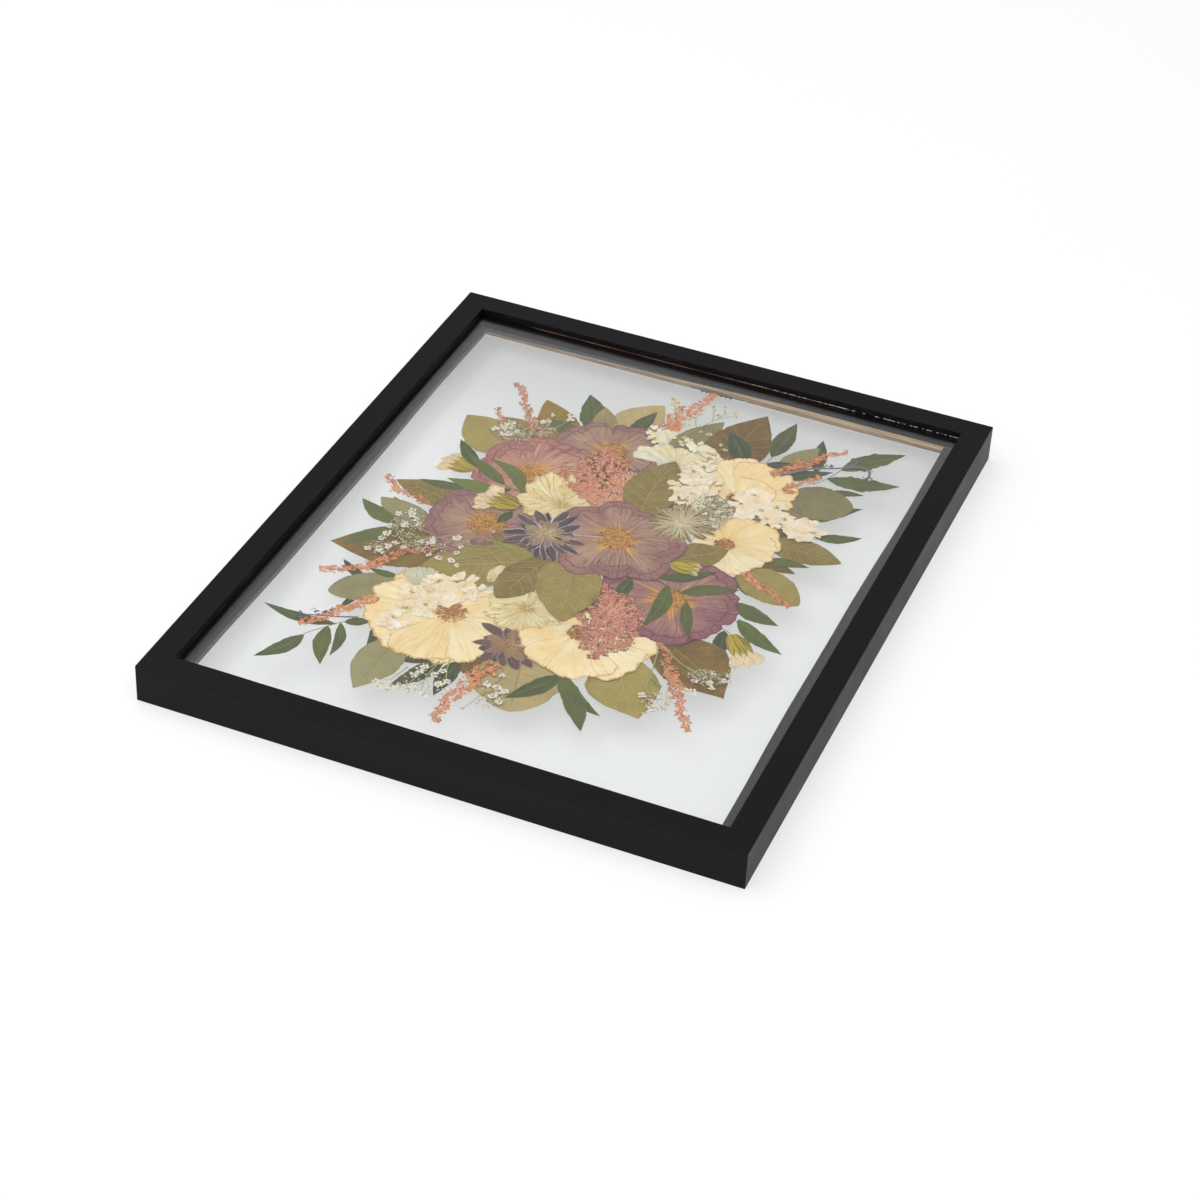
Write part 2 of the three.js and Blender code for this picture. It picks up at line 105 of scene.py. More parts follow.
class Look:
    """A material while its nodes are laid out."""

    def __init__(self, name):
        self.material = bpy.data.materials.new(name)
        self.material.use_nodes = True
        self.tree = self.material.node_tree
        self.tree.nodes.clear()

    def node(self, kind, settings=None, inputs=None, out=0):
        """Adds a node: its settings first, then the values or links of its sockets."""
        made = self.tree.nodes.new("ShaderNode" + kind)
        for key, value in (settings or {}).items():
            setattr(made, key, value)
        for key, value in (inputs or {}).items():
            if isinstance(value, Signal):
                self.tree.links.new(value.socket, made.inputs[key])
            else:
                made.inputs[key].default_value = value
        return Signal(self, made.outputs[out]) if len(made.outputs) else None

    def parts(self, point):
        """The three numbers of a point."""
        outputs = self.node("SeparateXYZ", {}, {0: point}).socket.node.outputs
        return [Signal(self, outputs[i]) for i in range(3)]

    def place(self):
        """The point on the object, in metres, and its three parts."""
        point = self.node("TexCoord", out="Object")
        return point, self.parts(point)

    def grid(self):
        """Where the point lies on its own sheet: across it and along it, 0 to 1."""
        return self.parts(self.node("UVMap", {"uv_map": "sheet"}))[:2]

    def tone(self):
        """The number from 0 to 1 that sets one leaf, petal or grain apart from the next."""
        return self.node("Attribute", {"attribute_name": "tone"}, out="Fac")

    def vector(self, x, y, z):
        """A point put together from three numbers."""
        return self.node("CombineXYZ", {}, {0: x, 1: y, 2: z})

    def noise(self, point, scale, detail, rough=0.55):
        """Smooth noise from 0 to 1, with as many finer layers as detail says."""
        inputs = {"Vector": point, "Scale": scale, "Detail": detail, "Roughness": rough}
        return self.node("TexNoise", {"noise_dimensions": "3D"}, inputs)

    def ease(self, value, start, end):
        """0 before start, 1 past end, eased between; start may be the larger."""
        inputs = {"Value": value, "From Min": start, "From Max": end}
        return self.node("MapRange", {"interpolation_type": "SMOOTHSTEP"}, inputs)

    def mix(self, share, first, second):
        """The first colour where share is 0, the second where it is 1."""
        inputs = {0: share, 6: first, 7: second}
        return self.node("Mix", {"data_type": "RGBA", "clamp_factor": True}, inputs, out=2)

    def skin(self, base, rough, height=None, relief=0.0, **constants):
        """The Principled shader on the output. relief is the height of the bump in metres."""
        inputs = {"Base Color": base, "Roughness": rough}
        inputs.update({key.replace("_", " "): value for key, value in constants.items()})
        if height is not None:
            bump = {"Strength": 1.0, "Distance": relief, "Height": height}
            inputs["Normal"] = self.node("Bump", {}, bump)
        shader = self.node("BsdfPrincipled", {}, inputs)
        self.node("OutputMaterial", {}, {"Surface": shader})
        return self.material


def dress(node, look):
    """Gives a node of the frame its material."""
    nodes[node].data.materials.clear()
    nodes[node].data.materials.append(look)


def rail_look():
    """Black satin paint with dust and a fine line at each mitre, and raw wood where the
    distance in from the outer edge passes the rebate, below the glass."""
    look = Look("black_painted_wood")
    point, (x, y, z) = look.place()
    from_side = frame_high.x - abs(x)
    from_end = frame_high.y - abs(y)
    inset = from_side.math("MINIMUM", from_end)
    glass_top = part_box("glass_front")[1].z
    worn = look.ease(y, 0.2, 0.22) * look.ease(x, -0.165, -0.145) * look.ease(x, 0.125, 0.09)
    edge = glass_top + (worn * 0.35 - 0.1) * MM
    bare = look.ease(inset, (REBATE_AT - 0.3) * MM, (REBATE_AT - 0.1) * MM) \
        * look.ease(z - edge, 0.08 * MM, -0.08 * MM)
    chips = look.ease(look.noise(look.vector(x * 420.0, y * 80.0, z * 80.0), 1.0, 2.0), 0.5, 0.56) \
        * look.ease(x, 0.0, 0.05) * look.ease(y, 0.2, 0.22) \
        * look.ease(abs(z - glass_top - 0.35 * MM), 0.3 * MM, 0.2 * MM) \
        * look.ease(inset, (FACE_WIDTH - 0.5) * MM, (FACE_WIDTH - 0.2) * MM)
    grain = look.noise(look.vector(x * 30.0, y * 30.0, z * 900.0), 1.0, 5.0)
    wood = look.mix(look.ease(grain, 0.35, 0.7), paint(214, 178, 132), paint(150, 106, 66))
    mitre = look.ease(abs(from_side - from_end), 0.16 * MM, 0.05 * MM)
    dust = look.ease(look.noise(point, 900.0, 1.0), 0.80, 0.86)
    haze = look.noise(point, 14.0, 3.0)
    black = look.mix(haze, paint(13, 10, 13), paint(20, 17, 20))
    black = look.mix(dust * 0.5, black, paint(120, 118, 115))
    black = look.mix(mitre * 0.8, black, paint(3, 3, 3))
    black = look.mix(chips, black, paint(226, 226, 222))
    peel = look.noise(point, 1600.0, 2.0) * 0.2 - mitre
    height = peel + bare * (grain * 0.6 - peel)
    satin = look.ease(haze, 0.2, 0.8) * 0.1 + 0.38
    rough = satin + bare * (0.8 - satin)
    return look.skin(look.mix(bare, black, wood), rough, height, 0.08 * MM,
                     Specular_IOR_Level=0.12)


black_wood = rail_look()
for side in ("near", "far", "left", "right"):
    dress("rail_" + side, black_wood)

# ---- Panes --------------------------------------------------------------------------
# Two sheets of clear float glass, cut to drop into the rebate. Nothing but their
# weight on each other holds the flowers still.


def glass_look():
    """Clear glass with faint smears. The lamps' light goes straight through it, a little
    dimmed, so that the flowers are lit evenly."""
    look = Look("clear_float_glass")
    point = look.place()[0]
    smear = look.ease(look.noise(point, 9.0, 4.0, 0.7), 0.66, 0.82)
    clear = look.mix(smear, (0.985, 0.992, 0.99, 1.0), (0.965, 0.975, 0.972, 1.0))
    pane = look.node("BsdfPrincipled", {}, {
        "Base Color": clear, "Roughness": 0.0, "IOR": 1.5, "Transmission Weight": 1.0})
    lamp = look.node("LightPath", out="Is Shadow Ray")
    open_way = look.node("BsdfTransparent", {}, {"Color": (0.9, 0.905, 0.903, 1.0)})
    both = look.node("MixShader", {}, {0: lamp, 1: pane, 2: open_way})
    look.node("OutputMaterial", {}, {"Surface": both})
    return look.material


clear_glass = glass_look()
dress("glass_front", clear_glass)
dress("glass_back", clear_glass)

# ---- Retaining strips ---------------------------------------------------------------
# Thin black-faced strips glued into the rebate behind the glass. Their inner edge was
# cut by hand and shows the raw tan core.
strip_low, strip_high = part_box("retaining_strip_near")


def strip_look():
    """A black face with lighter bands along the strip, partly rubbed wear and partly painted
    reflection of the panes, and tan fibre where the cut edge shows: the band of bare core
    widens from near left to far right."""
    look = Look("black_faced_strip")
    x, y, z = look.place()[1]
    cut = look.ease(x, -0.23, 0.17) * look.ease(y, 0.1, 0.2)
    thick = strip_high.z - strip_low.z
    core = look.ease(z, strip_low.z + 0.05 * MM, strip_low.z + 0.2 * MM) \
        * look.ease(z - strip_low.z - cut * thick, 0.0, -0.3 * MM)
    fibre = look.noise(look.vector(x * 25.0, y * 25.0, z * 700.0), 1.0, 4.0)
    tan = look.mix(look.ease(fibre, 0.3, 0.7), paint(236, 206, 162), paint(190, 148, 104))
    from_edge = (frame_high.x - abs(x)).math("MINIMUM", frame_high.y - abs(y))
    # Lighter bands along the strip: partly rubbed wear, partly painted reflection standing for the
    # lines that the two panes reflect over it.
    rub_and_reflection = look.noise(look.vector(from_edge * 420.0, x * 6.0, y * 6.0), 1.0, 3.0)
    face = look.mix(look.ease(rub_and_reflection, 0.3, 0.7), paint(14, 13, 18), paint(46, 46, 54))
    return look.skin(look.mix(core, face, tan), rub_and_reflection * 0.2 + 0.5, fibre, 0.1 * MM)


black_strip = strip_look()
for side in ("near", "far", "left", "right"):
    dress("retaining_strip_" + side, black_strip)

# ---- Sawtooth hanger ----------------------------------------------------------------
# A stamped steel plate let into the back of the far rail. It is blued dark, its teeth
# catch the nail that the frame hangs on, and two round-headed pins hold it.


SHARP_EDGE = np.radians(50)


def steel_look():
    """Dark steel, brushed along its length, with a few specks of rust."""
    look = Look("blued_steel")
    point, (x, y, z) = look.place()
    brushed = look.noise(look.vector(x * 60.0, y * 900.0, z * 900.0), 1.0, 3.0)
    rust = look.ease(look.noise(point, 260.0, 5.0), 0.62, 0.75)
    base = look.mix(rust * 0.5, paint(70, 72, 78), paint(96, 66, 48))
    return look.skin(base, brushed * 0.25 + 0.3, brushed, 0.02 * MM, Metallic=0.9)


class Press:
    """Gathers closed sheets, rods and grains, in millimetres, and makes one mesh of them."""

    def __init__(self):
        self.points = []
        self.faces = []
        self.spots = []
        self.tones = []
        self.count = 0

    def add(self, points, faces, spots, tone):
        """Takes in points, arrays of faces that number them, where each point lies on its
        sheet, and a tone for all of them or for each."""
        self.points.append(points)
        self.faces.extend(face + self.count for face in faces)
        self.spots.append(spots)
        self.tones.append(np.broadcast_to(tone, len(points)))
        self.count += len(points)

    def sheet(self, x, y, z, thick, tone):
        """A grid of points made a closed sheet: its top, its underside a thickness below,
        and the band of faces that joins them round the edge."""
        rows, cols = x.shape
        z = np.broadcast_to(z, x.shape)
        swept = np.diff(x, axis=0)[:, :-1] * np.diff(y, axis=1)[:-1]
        swept = swept - np.diff(y, axis=0)[:, :-1] * np.diff(x, axis=1)[:-1]
        i = np.arange(rows * cols).reshape(rows, cols)
        if swept.sum() < 0:
            i = i[:, ::-1]
        top = np.stack([i[:-1, :-1], i[1:, :-1], i[1:, 1:], i[:-1, 1:]], -1).reshape(-1, 4)
        loop = np.concatenate([i[:-1, 0], i[-1, :-1], i[:0:-1, -1], i[0, :0:-1]])
        after = np.roll(loop, -1)
        under = rows * cols
        band = np.stack([after, loop, loop + under, after + under], -1)
        v, u = np.meshgrid(np.linspace(0, 1, rows), np.linspace(0, 1, cols), indexing="ij")
        spots = np.stack([u.ravel(), v.ravel()], -1)
        high = np.stack([x, y, z + thick], -1).reshape(-1, 3)
        low = np.stack([x, y, z], -1).reshape(-1, 3)
        self.add(np.concatenate([high, low]), [top, top[:, ::-1] + under, band],
                 np.concatenate([spots, spots]), tone)

    def rods(self, paths, radius, tone, flat, sides=4):
        """A many-sided section carried along each path, closed at both ends. paths is
        (rods, steps, 3); flat squashes the section from above."""
        paths = np.asarray(paths, float)
        rods, steps, _ = paths.shape
        radius = np.broadcast_to(radius, (rods, steps))[..., None]
        way = np.gradient(paths, axis=1)
        side = np.stack([-way[..., 1], way[..., 0], np.zeros((rods, steps))], -1)
        side /= np.maximum(np.linalg.norm(side, axis=-1, keepdims=True), 1e-9)
        up = np.array([0, 0, flat])
        turn = (np.arange(sides) + 0.5) / sides * 2 * np.pi
        ring = [paths + radius * (np.cos(a) * side + np.sin(a) * up) for a in turn]
        points = np.stack(ring, 2)
        i = np.arange(points[..., 0].size).reshape(rods, steps, sides)
        j = np.roll(i, -1, axis=2)
        walls = np.stack([i[:, :-1], i[:, 1:], j[:, 1:], j[:, :-1]], -1).reshape(-1, 4)
        ends = [i[:, 0], i[:, -1, ::-1]]
        v = np.broadcast_to(np.linspace(0, 1, steps)[None, :, None], i.shape)
        u = np.broadcast_to(np.linspace(0, 1, sides)[None, None], i.shape)
        tones = np.broadcast_to(np.reshape(tone, (-1, 1, 1)), i.shape).ravel()
        self.add(points.reshape(-1, 3), [walls, *ends], np.stack([u.ravel(), v.ravel()], -1), tones)

    def grains(self, centres, sizes, turns, tones):
        """One small twelve-faced lens for each centre: six points round its waist, one above
        and one below, stretched to its three half sizes and turned about Z."""
        round_waist = 6
        turn = np.arange(round_waist) / round_waist * 2 * np.pi
        waist = np.stack([np.cos(turn), np.sin(turn), np.zeros(round_waist)], -1)
        lens = np.concatenate([waist, [[0, 0, 1], [0, 0, -1]]])
        here = np.arange(round_waist)
        after = (here + 1) % round_waist
        top = np.full(round_waist, round_waist)
        faces = np.concatenate([np.stack([here, after, top], -1),
                                np.stack([after, here, top + 1], -1)])
        many = len(centres)
        shape = lens[None] * np.asarray(sizes)[:, None]
        c, s = np.cos(turns)[:, None], np.sin(turns)[:, None]
        turned = np.stack([shape[..., 0] * c - shape[..., 1] * s,
                           shape[..., 0] * s + shape[..., 1] * c, shape[..., 2]], -1)
        points = (turned + np.asarray(centres)[:, None]).reshape(-1, 3)
        every = (faces[None] + len(lens) * np.arange(many)[:, None, None]).reshape(-1, 3)
        spots = np.tile(lens[:, :2] * 0.5 + 0.5, (many, 1))
        self.add(points, [every], spots, np.repeat(np.broadcast_to(tones, many), len(lens)))

    def piece(self, name, look, slot, *replaced):
        """The finished object: smooth over its faces, sharp at its edges."""
        mesh = bpy.data.meshes.new(name)
        points = np.concatenate(self.points) * MM
        corners = np.concatenate([face.ravel() for face in self.faces])
        sizes = np.concatenate([np.full(len(f), f.shape[1]) for f in self.faces])
        mesh.vertices.add(len(points))
        mesh.vertices.foreach_set("co", points.astype(np.float32).ravel())
        mesh.loops.add(len(corners))
        mesh.loops.foreach_set("vertex_index", corners.astype(np.int32))
        mesh.polygons.add(len(sizes))
        starts = np.concatenate([[0], np.cumsum(sizes)[:-1]])
        mesh.polygons.foreach_set("loop_start", starts.astype(np.int32))
        mesh.update(calc_edges=True)
        sheet_map = mesh.uv_layers.new(name="sheet")
        spots = np.concatenate(self.spots)[corners]
        sheet_map.data.foreach_set("uv", spots.astype(np.float32).ravel())
        tone = mesh.attributes.new("tone", "FLOAT", "POINT")
        tone.data.foreach_set("value", np.concatenate(self.tones).astype(np.float32))
        mesh.validate()
        mesh.polygons.foreach_set("use_smooth", np.ones(len(mesh.polygons), bool))
        mesh.set_sharp_from_angle(angle=SHARP_EDGE)
        mesh.materials.append(look)
        made = bpy.data.objects.new(name, mesh)
        bpy.context.scene.collection.objects.link(made)
        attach(made, "root")
        if replaced:
            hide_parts(*replaced)


def dome(press, centre, radius, height):
    """Half a flattened ball, flat side up: rings shrink as the cosine of the way down, and
    the smallest is closed flat."""
    rings, around = 6, 16
    turn = np.linspace(0, 2 * np.pi, around + 1)[:-1]
    down = np.linspace(0, 0.46 * np.pi, rings)
    wide = np.cos(down) * radius
    drop = np.sin(down) * height
    points = np.stack([centre[0] + np.outer(wide, np.cos(turn)),
                       centre[1] + np.outer(wide, np.sin(turn)),
                       centre[2] - np.repeat(drop[:, None], around, 1)], -1).reshape(-1, 3)
    i = np.arange(rings * around).reshape(rings, around)
    j = np.roll(i, -1, axis=1)
    walls = np.stack([i[1:], j[1:], j[:-1], i[:-1]], -1).reshape(-1, 4)
    caps = [i[:1], i[-1:, ::-1]]
    press.add(points, [walls, *caps], points[:, :2] * 0.1, 0.5)


blued_steel = steel_look()
plate_low, plate_high = (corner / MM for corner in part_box("sawtooth_hanger"))
TOOTH_PITCH = 4.0
TOOTH_DEEP = 1.9
HALF_TOOTHED = 13.2
ARM_BACK = 2.95          # how far the plain arms stand back from the line of the teeth
STEP_DOWN = 0.4          # from an arm to the roots of the teeth
STEP_WIDE = 0.6
PIN_ALONG = 19.5
PIN_UP = 2.4
PIN_RADIUS = 1.3
PIN_HIGH = 0.22
PLATE_STEPS = 185

# The lower edge: a row of triangles over the middle, and a plain arm to each side.
along_plate = np.linspace(plate_low.x, plate_high.x, PLATE_STEPS)
tooth = np.abs((along_plate / TOOTH_PITCH) % 1 - 0.5) * 2
toothed = np.clip((HALF_TOOTHED - np.abs(along_plate)) / STEP_WIDE, 0, 1)
lower_edge = plate_low.y + ARM_BACK - toothed * (STEP_DOWN + TOOTH_DEEP * tooth)
plate = Press()
plate.sheet(np.stack([along_plate, along_plate]),
            np.stack([lower_edge, np.full(lower_edge.shape, plate_high.y)]),
            plate_low.z, plate_high.z - plate_low.z, 0.5)
plate.piece("toothed_plate", blued_steel, "dark_steel", "sawtooth_hanger")
pins = Press()
pin_y = (plate_low.y + plate_high.y) / 2 + PIN_UP
for end in (-1, 1):
    dome(pins, (end * PIN_ALONG, pin_y, plate_low.z), PIN_RADIUS, PIN_HIGH)
pins.piece("hanger_pins", blued_steel, "dark_steel")

# ---- Broad leaves -------------------------------------------------------------------
# Whole leaves of salal and eucalyptus, pressed until dry. They lie lowest, tips out,
# and the flowers are laid on their stalk ends.
GAP_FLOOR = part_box("glass_back")[1].z / MM
LOWEST = 0.05
PITCH = 0.215
LEAF_THICK = 0.03
PART_LEAF_THICK = 0.015
HALF_TIP = 0.12
BROWNED = paint(96, 62, 30)
GLASS_VEIL = 0.055
GLASS_GAIN = 0.985


def level(k):
    """Height of the underside of layer k above the back pane, in millimetres."""
    return GAP_FLOOR + LOWEST + k * PITCH


def dry(red, green, blue):
    """A colour chosen as it shows under the glass, with the pane's pale veil taken off."""
    seen = np.array(paint(red, green, blue)[:3])
    bare = np.clip((seen - GLASS_VEIL) / GLASS_GAIN, 0.004, 1.0)
    return (*bare.tolist(), 1.0)


def wander(t, seed, depth, turns=3.0):
    """A line that strays from zero: three sines, each quicker and lower than the last."""
    phase = np.random.default_rng(seed).uniform(0, 2 * np.pi, 3)
    waves = [np.sin(2 * np.pi * turns * 1.9 ** i * t + phase[i]) / 1.5 ** i for i in range(3)]
    return depth * sum(waves) / 2


def blade(press, z, base, tip, width, tone, bend=0.0, fullest=0.42, plump=0.85, ragged=0.03,
          rows=30, cols=9, thick=LEAF_THICK, seed=1, sharp=None):
    """A leaf from base to tip. Its half width is the sine of pi times v to a power, which
    puts the widest place at fullest; plump below 1 rounds it, sharp does the same for the
    half at the tip, and bend bows it sideways. The edge waves, and is nicked more finely."""
    v, u = np.meshgrid(np.linspace(0, 1, rows), np.linspace(-1, 1, cols), indexing="ij")
    power = np.log(0.5) / np.log(fullest)
    round_off = np.where(v > fullest, plump if sharp is None else sharp, plump)
    half = 0.5 * width * np.maximum(np.sin(np.pi * v ** power), 0) ** round_off
    stray = [wander(v, seed + n, ragged) + wander(v, seed + n + 7, 0.5 * ragged, 9.0)
             for n in (0, 50)]
    half = half * (1 + np.where(u < 0, *stray))
    half = np.maximum(half, HALF_TIP)
    run = np.subtract(tip, base)
    side = np.array([-run[1], run[0]]) / np.hypot(*run)
    off = u * half + bend * np.sin(np.pi * v)
    x = base[0] + run[0] * v + side[0] * off
    y = base[1] + run[1] * v + side[1] * off
    press.sheet(x, y, z, thick, tone)


def leaf_look(name, pale, deep, rib, veins=8.0, blotchy=0.35):
    """A dried leaf: midrib, side veins that sweep to the tip, mottling and a browned rim."""
    look = Look(name)
    point = look.place()[0]
    across, along = look.grid()
    tone = look.tone()
    off = abs(across - 0.5) * 2.0
    mottle = look.noise(point, 70.0, 5.0, 0.6)
    cells = look.noise(point, 900.0, 3.0)
    skew = look.noise(point, 60.0, 2.0) * 0.06
    sweep = (along - off * 0.16 + skew) * veins + tone * 3.0
    line = abs(sweep.math("FRACT") - 0.5) * 2.0
    vein = look.ease(line, 0.84, 1.0) * look.ease(along, 0.97, 0.8) * look.ease(off, 1.0, 0.8)
    net = look.node("TexVoronoi", {"feature": "DISTANCE_TO_EDGE"}, {
        "Vector": point, "Scale": 520.0}, "Distance")
    netted = look.ease(net, 0.16, 0.02)
    midrib = look.ease(off, 0.035, 0.012) * look.ease(along, 1.0, 0.7)
    shade = tone + (mottle - 0.5) * 1.1 + (cells - 0.5) * 0.6
    base = look.mix(shade, pale, deep)
    base = look.mix(vein * 0.4, base, rib)
    base = look.mix(netted * 0.18, base, rib)
    base = look.mix(midrib * 0.6, base, rib)
    base = look.mix(look.ease(off, 0.93, 0.98) * 0.35, base, rib)
    burn = look.ease(off + (mottle - 0.5) * 0.5, 0.84, 1.05) * blotchy
    spot = look.ease(look.noise(point, 160.0, 3.0), 0.66, 0.78) * blotchy
    base = look.mix(burn, base, BROWNED)
    base = look.mix(spot, base, BROWNED)
    height = vein * 0.5 + midrib * 0.9 + netted * 0.15 + cells * 0.4 + mottle * 0.6
    return look.skin(base, mottle * 0.2 + 0.55, height, 0.5 * MM, Specular_IOR_Level=0.35)


olive_look = leaf_look("dried_olive_leaf", dry(170, 154, 94), dry(126, 108, 62), dry(192, 178, 126))
brown_look = leaf_look("dried_brown_leaf", dry(156, 132, 76), dry(112, 88, 32), dry(172, 148, 84))
grey_look = leaf_look("dried_grey_leaf", dry(160, 156, 118), dry(128, 120, 92), dry(166, 152, 104),
                      6.0, blotchy=0.25)
tan_look = leaf_look("dried_tan_leaf", dry(196, 176, 128), dry(156, 142, 106), dry(168, 148, 100),
                     7.0, blotchy=0.15)
OVAL = {"plump": 0.68, "fullest": 0.48, "sharp": 0.85}
ROUND = {"plump": 0.62, "fullest": 0.52, "sharp": 0.62}
# Each row: node, layer, stalk end, tip, width, tone, look, and where its outline differs.
broad_leaves = [
    ("leaf_olive_upper_left", 0, (-84, 78), (-149.5, 115), 43, 0.1, olive_look,
     {"bend": 2, "fullest": 0.55, "sharp": 0.9}),
    ("leaf_brown_top", 0, (44, 128), (54.6, 214.4), 48, 0.8, brown_look,
     {"fullest": 0.42, "sharp": 1.0}),
    ("leaf_grey_upper_right", 0, (100, 118), (152.3, 128), 42, 0.8, grey_look, ROUND),
    ("leaf_olive_right_upper", 0, (104, 60), (166.5, 60), 29, 0.75, olive_look,
     {"bend": 1.5, "fullest": 0.5}),
    ("leaf_olive_right_lower", 0, (101, 24), (155.6, 0), 36, 0.3, olive_look,
     {"plump": 0.72, "fullest": 0.5}),
    ("leaf_olive_middle", 6, (17, 42), (14.5, 125), 41, 0.75, olive_look,
     {"bend": 3, "plump": 0.72, "sharp": 0.85, "fullest": 0.5}),
    ("leaf_olive_lower_left", 2, (-24, -30), (-99, -74), 54, 0.35, olive_look, OVAL),
    ("leaf_olive_lower_middle", 5, (-18, -10), (-36, -85), 32, 0.85, olive_look,
     {"fullest": 0.6, "sharp": 0.75}),
    ("leaf_olive_lower_right", 6, (-8, -10), (15, -90.5), 46, 0.35, olive_look, OVAL),
    ("leaf_brown_left", 0, (-88, -52), (-169, -73.5), 50, 0.6, brown_look,
     {"sharp": 1.0, "bend": -3}),
    ("leaf_grey_left", 0, (-101, -94), (-144, -127), 31, 0.35, grey_look, ROUND),
    ("leaf_grey_lower", 0, (-77, -147), (-81, -215), 33, 0.1, grey_look,
     {"fullest": 0.5, "sharp": 0.95, "plump": 0.8}),
    ("leaf_tan_bottom", 0, (4, -126), (22, -193), 59, 0.35, tan_look, ROUND),
    ("leaf_olive_bottom_right", 0, (62, -104), (101.7, -163), 50, 0.1, olive_look,
     {"plump": 0.68, "fullest": 0.5, "sharp": 1.05, "bend": -3}),
    ("leaf_brown_lower_right", 1, (82, -76), (145, -119), 52, 0.7, brown_look,
     {"plump": 0.65, "fullest": 0.45, "sharp": 1.1, "bend": 4}),
]
LEAF_SLOTS = {olive_look: "leaf_olive", brown_look: "leaf_brown", grey_look: "leaf_grey",
              tan_look: "leaf_tan"}
for seed, (node, k, base, tip, width, tone, look, form) in enumerate(broad_leaves):
    leaf = Press()
    blade(leaf, level(k), base, tip, width, tone, rows=44, cols=17, seed=seed, **form)
    leaf.piece("pressed_" + node, look, LEAF_SLOTS[look], node)

# Broad leaves that show only in part, tucked under or over their neighbours. No two that
# cross lie at the same height.
# Each row: layer, stalk end, tip, width, tone, and where its outline differs.
part_leaves = {
    "tucked_brown_leaves": (brown_look, [
        (-0.21, (-66, 112), (-104, 160.5), 31, 0.1, {}),
        (-0.12, (104, 50), (117, 92), 30, 0.7, {}), (-0.22, (100, 40), (141, 34), 15, 0.9, {}),
        (-0.07, (-34, -60), (-14, -74), 16, 0.9, ROUND),
        (1.9, (-16, 54), (-44, 104), 26, 0.95, {}),
        (-0.16, (-30, -148), (0, -170), 26, 0.8, {})]),
    "tucked_tan_leaves": (tan_look, [
        (-0.18, (-42, 130), (-21, 193), 37, 0.1, OVAL),
        (-0.03, (-43, 126), (-60, 171), 20, 0.9, OVAL),
        (3.4, (46, 58), (58, 100), 34, 0.4, ROUND), (2.4, (44, 60), (80, 90), 44, 0.3, ROUND)]),
    "tucked_olive_leaves": (olive_look, [
        (4.2, (54, 8), (89, 38), 30, 0.8, OVAL),
        (-0.15, (-104, 4), (-160, 15), 28, 0.75, {"bend": -2}),
        (-0.11, (-66, 96), (-124, 123), 30, 0.55, ROUND),
        (1.2, (20, 40), (40, 84), 34, 0.9, ROUND),
        (1.4, (10, -84), (40, -50), 34, 0.9, ROUND),
        (1.4, (-20, -2), (10, -60), 40, 0.9, ROUND),
        (1.6, (-36, -4), (-72, -44), 36, 0.8, ROUND), (-0.05, (76, 96), (110, 80), 26, 0.6, ROUND)]),
    "tucked_grey_leaves": (grey_look, [
        (-0.17, (-108, -34), (-160.6, -9.4), 27, 0.2, OVAL),
        (-0.08, (88, 146), (104, 191), 22, 0.4, {}),
        (-0.02, (6, 132), (28, 192), 26, 0.6, {}), (-0.06, (86, 98), (126, 110), 26, 0.6, ROUND)]),
}
for name, (look, leaves) in part_leaves.items():
    tucked = Press()
    for seed, (k, base, tip, width, tone, form) in enumerate(leaves):
        blade(tucked, level(k), base, tip, width, tone, rows=36, cols=13, thick=PART_LEAF_THICK,
              seed=seed + 31, **form)
    tucked.piece(name, look, LEAF_SLOTS[look])

# ---- Ruscus -------------------------------------------------------------------------
# Narrow pointed leaves of Italian ruscus, still green, on thin stems. Some are whole
# sprigs, others are single leaves slipped in round the edge of the bouquet.


STEM_LIFT = 0.09
STALK_LIFT = 0.03
SPRIG_STEP = 0.05
SINGLE_STEP = 0.017


def ruscus_look():
    """Dull green, streaked along the leaf, with a pale midrib and worn edges."""
    look = Look("pressed_ruscus")
    point = look.place()[0]
    across, along = look.grid()
    off = abs(across - 0.5) * 2.0
    tone = look.tone()
    stripe = look.noise(look.vector(across * 16.0, along * 1.2, tone * 9.0), 1.0, 3.0)
    mottle = look.noise(point, 120.0, 4.0)
    base = look.mix(tone + (stripe - 0.5) * 0.9 + (mottle - 0.5) * 0.6,
                    dry(118, 128, 72), dry(60, 72, 28))
    midrib = look.ease(off, 0.1, 0.03)
    base = look.mix(midrib * 0.25, base, dry(136, 142, 98))
    base = look.mix(look.ease(off, 0.9, 0.97) * 0.3, base, dry(138, 142, 96))
    worn = look.ease(off + (mottle - 0.5) * 0.4, 0.9, 1.08) * 0.4
    base = look.mix(worn * 0.6, base, dry(150, 144, 96))
    return look.skin(base, stripe * 0.2 + 0.42, stripe + midrib * 0.6, 0.25 * MM,
                     Specular_IOR_Level=0.4)


def curve(points, steps):
    """A smooth line through the points given: each stretch is a cubic whose slope at a
    point is half the way from the point before to the one after."""
    points = np.asarray(points, float)
    padded = np.concatenate([[2 * points[0] - points[1]], points, [2 * points[-1] - points[-2]]])
    t = np.linspace(0, len(points) - 1 - 1e-9, steps)
    i = t.astype(int)
    f = (t - i)[:, None]
    a, b, c, d = (padded[i + n] for n in range(4))
    return 0.5 * (2 * b + (c - a) * f + (2 * a - 5 * b + 4 * c - d) * f ** 2
                  + (3 * b - a - 3 * c + d) * f ** 3)


def stem(press, points, z, radius, tone, flat):
    """A thin stalk along the points given, tapering a little to its end."""
    steps = 4 * len(points)
    line = curve(points, steps)
    path = np.column_stack([line, np.full(steps, z)])
    press.rods([path], radius * np.linspace(1.1, 0.7, steps), tone, flat)


green = ruscus_look()
